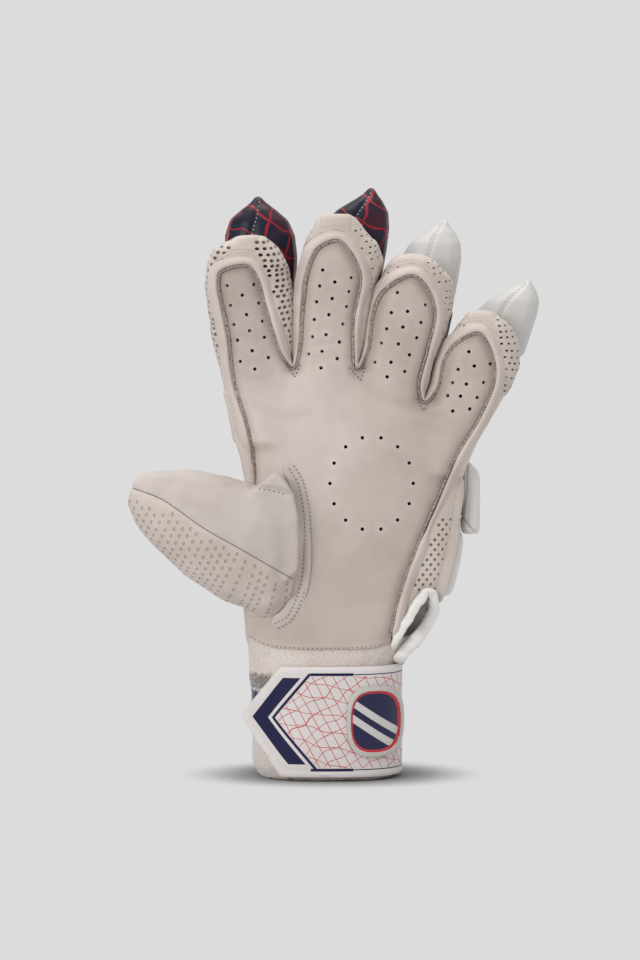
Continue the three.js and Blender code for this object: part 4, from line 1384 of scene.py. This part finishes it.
binding_loop = smooth_line([(28.7, 64), (30.6, 69.4), (34, 75.6), (38.9, 83.2), (43, 89.8), (46.3, 92.6),
                            (49.2, 89.6), (49, 83), (46.3, 76.4), (41.6, 70.6), (36.8, 65.4), (33, 60.2),
                            (30.9, 54.5)], 8)
lining_line = smooth_line([(28.5, 60), (32, 66), (37.8, 72.4), (42.6, 79.6), (46.2, 88.5)], 6)
lining_section = [(-4.5, -6.5), (-4.5, -5.5), (4.5, -5.5), (4.5, -6.5)]


def make_binding():
    tree = tree_of(soft_skin(["slit_binding", "gusset_side", "palm_leather", "wristband"], 1.2, 6))

    def depth_of(line):
        return even(facing_depth(tree, line), 6)

    share = np.linspace(0, 1, len(binding_loop))
    thick = np.interp(share, [0, 0.1, 0.3, 0.45, 0.6, 0.8, 1], [1.3, 2.1, 2.6, 2.3, 3.0, 3.5, 3.2])
    thick = even(thick, 4)
    round_section = [(math.cos(turn), math.sin(turn) * 0.62 + 0.1) for turn in around(16)]
    loop = resampled(binding_loop, 0.8)
    scale = np.interp(np.linspace(0, 1, len(loop)), np.linspace(0, 1, len(thick)), thick)

    def loop_depth(line):
        """The low end of the right arm lies on the front of the cuff, not on its side."""
        z = line[:, 1]
        right_arm = np.arange(len(line)) > len(line) / 2
        aside = 5.0 * right_arm * np.clip((74 - z) / 12, 0, 1) * np.clip((z - 55) / 4, 0, 1)
        return depth_of(line - np.stack([aside, aside * 0], axis=1))

    tube = swept("slit_binding", loop, round_section, loop_depth, scale)
    points, normals = points_of(tube), normals_of(tube)
    gathers = [noise.noise(Vector((p[0] * 150, 1.3, p[2] * 330))) * 0.75
               + noise.noise(Vector(p) * 700) * 0.3 for p in points]
    set_points(tube, points + normals * np.array(gathers)[:, None] * MM)
    piece = show("slit_binding_strip", tube, lit_binding_finish, "white_padding", ["slit_binding"])
    lining = swept("slit_lining", resampled(lining_line, 1.2), lining_section, depth_of)
    show("slit_lining", lining, lining_finish, "palm_leather", [], 40.0)


make_wristband()
make_binding()

# %% [markdown]
# ## The strap
# The fastening strap is a wide flat band with a pointed end. It is cut flat, as on the maker's table, and
# then bent along its path round the wrist. Each point keeps its place on the flat cut, and the printed
# chevron, edge lines and thin red lines are worked out from that.

# %% Strap finish
def strap_print():
    """Off-white ground, a navy chevron with a white stripe, navy edge lines and crossing thin red lines."""
    made = Finish("strap_print")
    flat = made.flat_place()
    along, up, _ = made.parts_of(flat)
    from_middle = abs(up - 31.2)
    point = along - from_middle * 0.84

    def band(field, low, high, soft=0.12):
        return field.between(low - soft, low + soft) * (1.0 - field.between(high - soft, high + soft))

    level = band(up, 8.4, 51.0)
    chevron = band(point, -41.5, -32.9) * level
    stripe = band(point, -30.9, -29.1) * band(up, 5.2, 53.2)
    edge_thick = (band(up, 52.0, 53.4) + band(up, 5.0, 6.4)) * band(along, -11.4, 9.4)
    edge_thin = (band(up, 52.4, 52.9, 0.06) + band(up, 5.5, 6.0, 0.06)) * along.between(9.0, 9.6)
    field = point.between(-29.1, -28.7) * band(up, 6.6, 51.8)
    bend = made.grain(22.0, 1.0, flat) * 16.0
    lines = []
    for turn, period in ((0.5, 9.0), (2.2, 12.0), (1.35, 15.0)):
        slant = along * math.cos(turn) + up * math.sin(turn) + bend * math.cos(turn * 3)
        lines.append(abs(slant.wave(period) - 0.5) * period)
    thin = 1.0 - lines[0].least(lines[1]).least(lines[2]).between(0.2, 0.42)
    ground = made.blend(made.grain(18.0), tone(216, 209, 207), tone(223, 217, 215))
    printed = made.blend(thin * field, ground, tone(192, 26, 36))
    navy_share = chevron.most(stripe).most(edge_thick).most(edge_thin)
    printed = made.blend(navy_share, printed, tone(10, 12, 62))
    printed = made.tinted(printed, made.hollow_grey(0.85))
    made.feed(Base_Color=printed, Roughness=made.grain(3.0) * 0.12 + 0.46, Specular_IOR_Level=0.3)
    return made.raise_by(made.cells(0.45) * 0.6 + made.grain(2.0), 0.04)


strap_finish = strap_print()

# %% Strap
STRAP_LOW, STRAP_HIGH, STRAP_TIP, STRAP_SHOULDER = 2.0, 56.4, (-45.6, 31.4), -26.0
STRAP_THICK = 2.2
CUFF_MIDDLE, CUFF_HALVES, CUFF_POWER = np.array([-4.5, 5.0]), np.array([35.7, 31.0]), 2.7


def rounded_square(turns, half_sizes, power):
    """Points of a superellipse round the origin."""
    way = np.stack([np.cos(turns), np.sin(turns)], axis=1)
    return np.sign(way) * np.abs(way) ** (2 / power) * half_sizes


def strap_path():
    turns = np.radians(np.linspace(238, 425, 240))
    path = rounded_square(turns, CUFF_HALVES + 0.5 + STRAP_THICK / 2, CUFF_POWER) + CUFF_MIDDLE
    way = path[0] - path[1]
    way /= np.linalg.norm(way)
    start = path[0] + way * ((path[0][0] - STRAP_TIP[0] + 1) / -way[0])
    return resampled(np.vstack([start, path]), 0.5)


class Strap:
    """Places on the strap. along is measured so that it equals X on the flat front."""

    def __init__(self):
        self.path = strap_path()
        steps = np.linalg.norm(np.diff(self.path, axis=0), axis=1)
        self.along = np.concatenate([[0], np.cumsum(steps)])
        self.along -= self.along_at(0.0)
        way = np.gradient(self.path, axis=0)
        way /= np.linalg.norm(way, axis=1)[:, None]
        self.out = np.stack([way[:, 1], -way[:, 0]], axis=1)

    def places(self, along, lift, z):
        x, y, ox, oy = (np.interp(along, self.along, v) for v in (*self.path.T, *self.out.T))
        return np.stack([x + ox * lift + SHIFT[0], y + oy * lift + SHIFT[1], z], axis=1) * MM

    def along_at(self, x):
        turn = int(np.argmax(self.path[:, 0]))
        return np.interp(x, self.path[:turn, 0], self.along[:turn])


strap = Strap()
print("strap length:", round(strap.along[-1] - strap.along[0], 1), "mm")


def bent_sheet(name, flat, faces, place, thickness, origin=(0.0, 0.0)):
    """A closed sheet from a flat net, with place(depth) giving its outer and inner side. Each point keeps
    its place on the flat cut, from the origin and in metres, for the shader."""
    count, faces = len(flat), turned_to_camera(flat, faces)[0]
    edges = {(a, b) for face in faces for a, b in zip(face, np.roll(face, -1))}
    rim = [(b, a, a + count, b + count) for a, b in sorted(edges) if (b, a) not in edges]
    skin = [tuple(f) for f in faces] + [tuple(f[::-1] + count) for f in faces] + rim
    mesh = outside_out(mesh_from(name, np.vstack([place(0.0), place(thickness)]), skin))
    kept = np.column_stack([flat - origin, np.zeros(count)]) * MM
    store = mesh.attributes.new("flat_place", "FLOAT_VECTOR", "POINT")
    store.data.foreach_set("vector", np.vstack([kept, kept]).ravel())
    return mesh


def make_strap():
    end = strap.along[-1]
    tip, shoulder = strap.along_at(STRAP_TIP[0]), strap.along_at(STRAP_SHOULDER)
    knots = [(tip, STRAP_TIP[1] - 0.6), (tip, STRAP_TIP[1] + 0.6), (shoulder - 0.8, STRAP_HIGH - 0.9),
             (shoulder + 0.8, STRAP_HIGH), (end, STRAP_HIGH), (end, STRAP_LOW), (shoulder + 0.8, STRAP_LOW),
             (shoulder - 0.8, STRAP_LOW + 0.9)]
    edge = resampled(np.array([*knots, knots[0]], float), 1.0)[:-1]
    flat, faces = punched_net(edge[::-1], [], 0.0, 1.6)
    away = distance_to(np.vstack([edge, edge[:1]]), flat[:, 0], flat[:, 1])
    rounding = 0.55 * np.clip(1 - away / 0.9, 0, 1) ** 2
    border = 0.35 * np.exp(-((away - 1.3) / 0.8) ** 2) - 0.15 * np.exp(-((away - 2.6) / 0.35) ** 2)
    wave = np.array([noise.noise(Vector((a / 21, z / 17, 0.7))) for a, z in flat]) * 0.25

    def place(depth):
        lift = STRAP_THICK / 2 - depth + (border + wave - rounding if depth == 0 else rounding * 0.4)
        return strap.places(flat[:, 0], lift, flat[:, 1])

    mesh = bent_sheet("strap", flat, faces, place, STRAP_THICK)
    show("strap_band", mesh, strap_finish, "strap", ["strap"], 50.0)


make_strap()

# %% [markdown]
# ## The badge
# A moulded rubber badge sits on the strap: a raised pale rim, a red line and a navy field. Its shape and its
# two plain bars are this part's own. The colours follow the same lines as the relief.

# %% Badge
BADGE_MIDDLE, BADGE_HALVES, BADGE_POWER = (18.9, 29.4), (12.8, 17.5), 2.8
BADGE_BARS = ((-4.6, 1.7), (1.6, 1.7))


def badge_finish():
    made = Finish("badge_rubber")
    from_x, from_z, _ = made.parts_of(made.flat_place())
    across, high = abs(from_x) / BADGE_HALVES[0], abs(from_z) / BADGE_HALVES[1]
    size = (across ** BADGE_POWER + high ** BADGE_POWER) ** (1 / BADGE_POWER)
    red = size.between(0.855, 0.865)
    inner = size.between(0.785, 0.795)
    slant = from_z * 0.8 + from_x * 0.6
    bars = 1.0 - abs(slant - BADGE_BARS[0][0]).least(abs(slant - BADGE_BARS[1][0])).between(1.6, 1.72)
    field = made.blend(bars, tone(10, 12, 62), tone(200, 196, 193))
    colour = made.blend(inner, field, tone(186, 40, 46))
    colour = made.blend(red, colour, tone(190, 185, 179))
    made.feed(Base_Color=made.tinted(colour, made.grain(4.0) * 0.08 + 0.95), Roughness=0.42)
    return made.raise_by(made.grain(0.6), 0.03)


def make_badge():
    edge = rounded_square(around(120), BADGE_HALVES, BADGE_POWER) + BADGE_MIDDLE
    flat, faces = punched_net(edge, [], 0.0, 0.7)
    from_middle = flat - BADGE_MIDDLE
    scaled = np.abs(from_middle / BADGE_HALVES)
    size = (scaled ** BADGE_POWER).sum(axis=1) ** (1 / BADGE_POWER)
    rim = 2.3 - 0.5 * np.clip((size - 0.9) / 0.1, 0, 1) ** 2
    height = np.where(size > 0.85, rim, 1.55)
    height = np.where(size < 0.79, 1.25, height)
    slant = from_middle @ (0.6, 0.8)
    for middle, half in BADGE_BARS:
        height = np.where((np.abs(slant - middle) < half) & (size < 0.77), 1.75, height)
    along = strap.along_at(flat[:, 0])
    foot = STRAP_THICK / 2 + 0.25

    def place(depth):
        return strap.places(along, foot + (height if depth == 0 else 0.0), flat[:, 1])

    mesh = bent_sheet("badge", flat, faces, place, 1.0, BADGE_MIDDLE)
    show("badge_rubber", mesh, badge_finish(), "badge", ["badge"], 50.0)


make_badge()
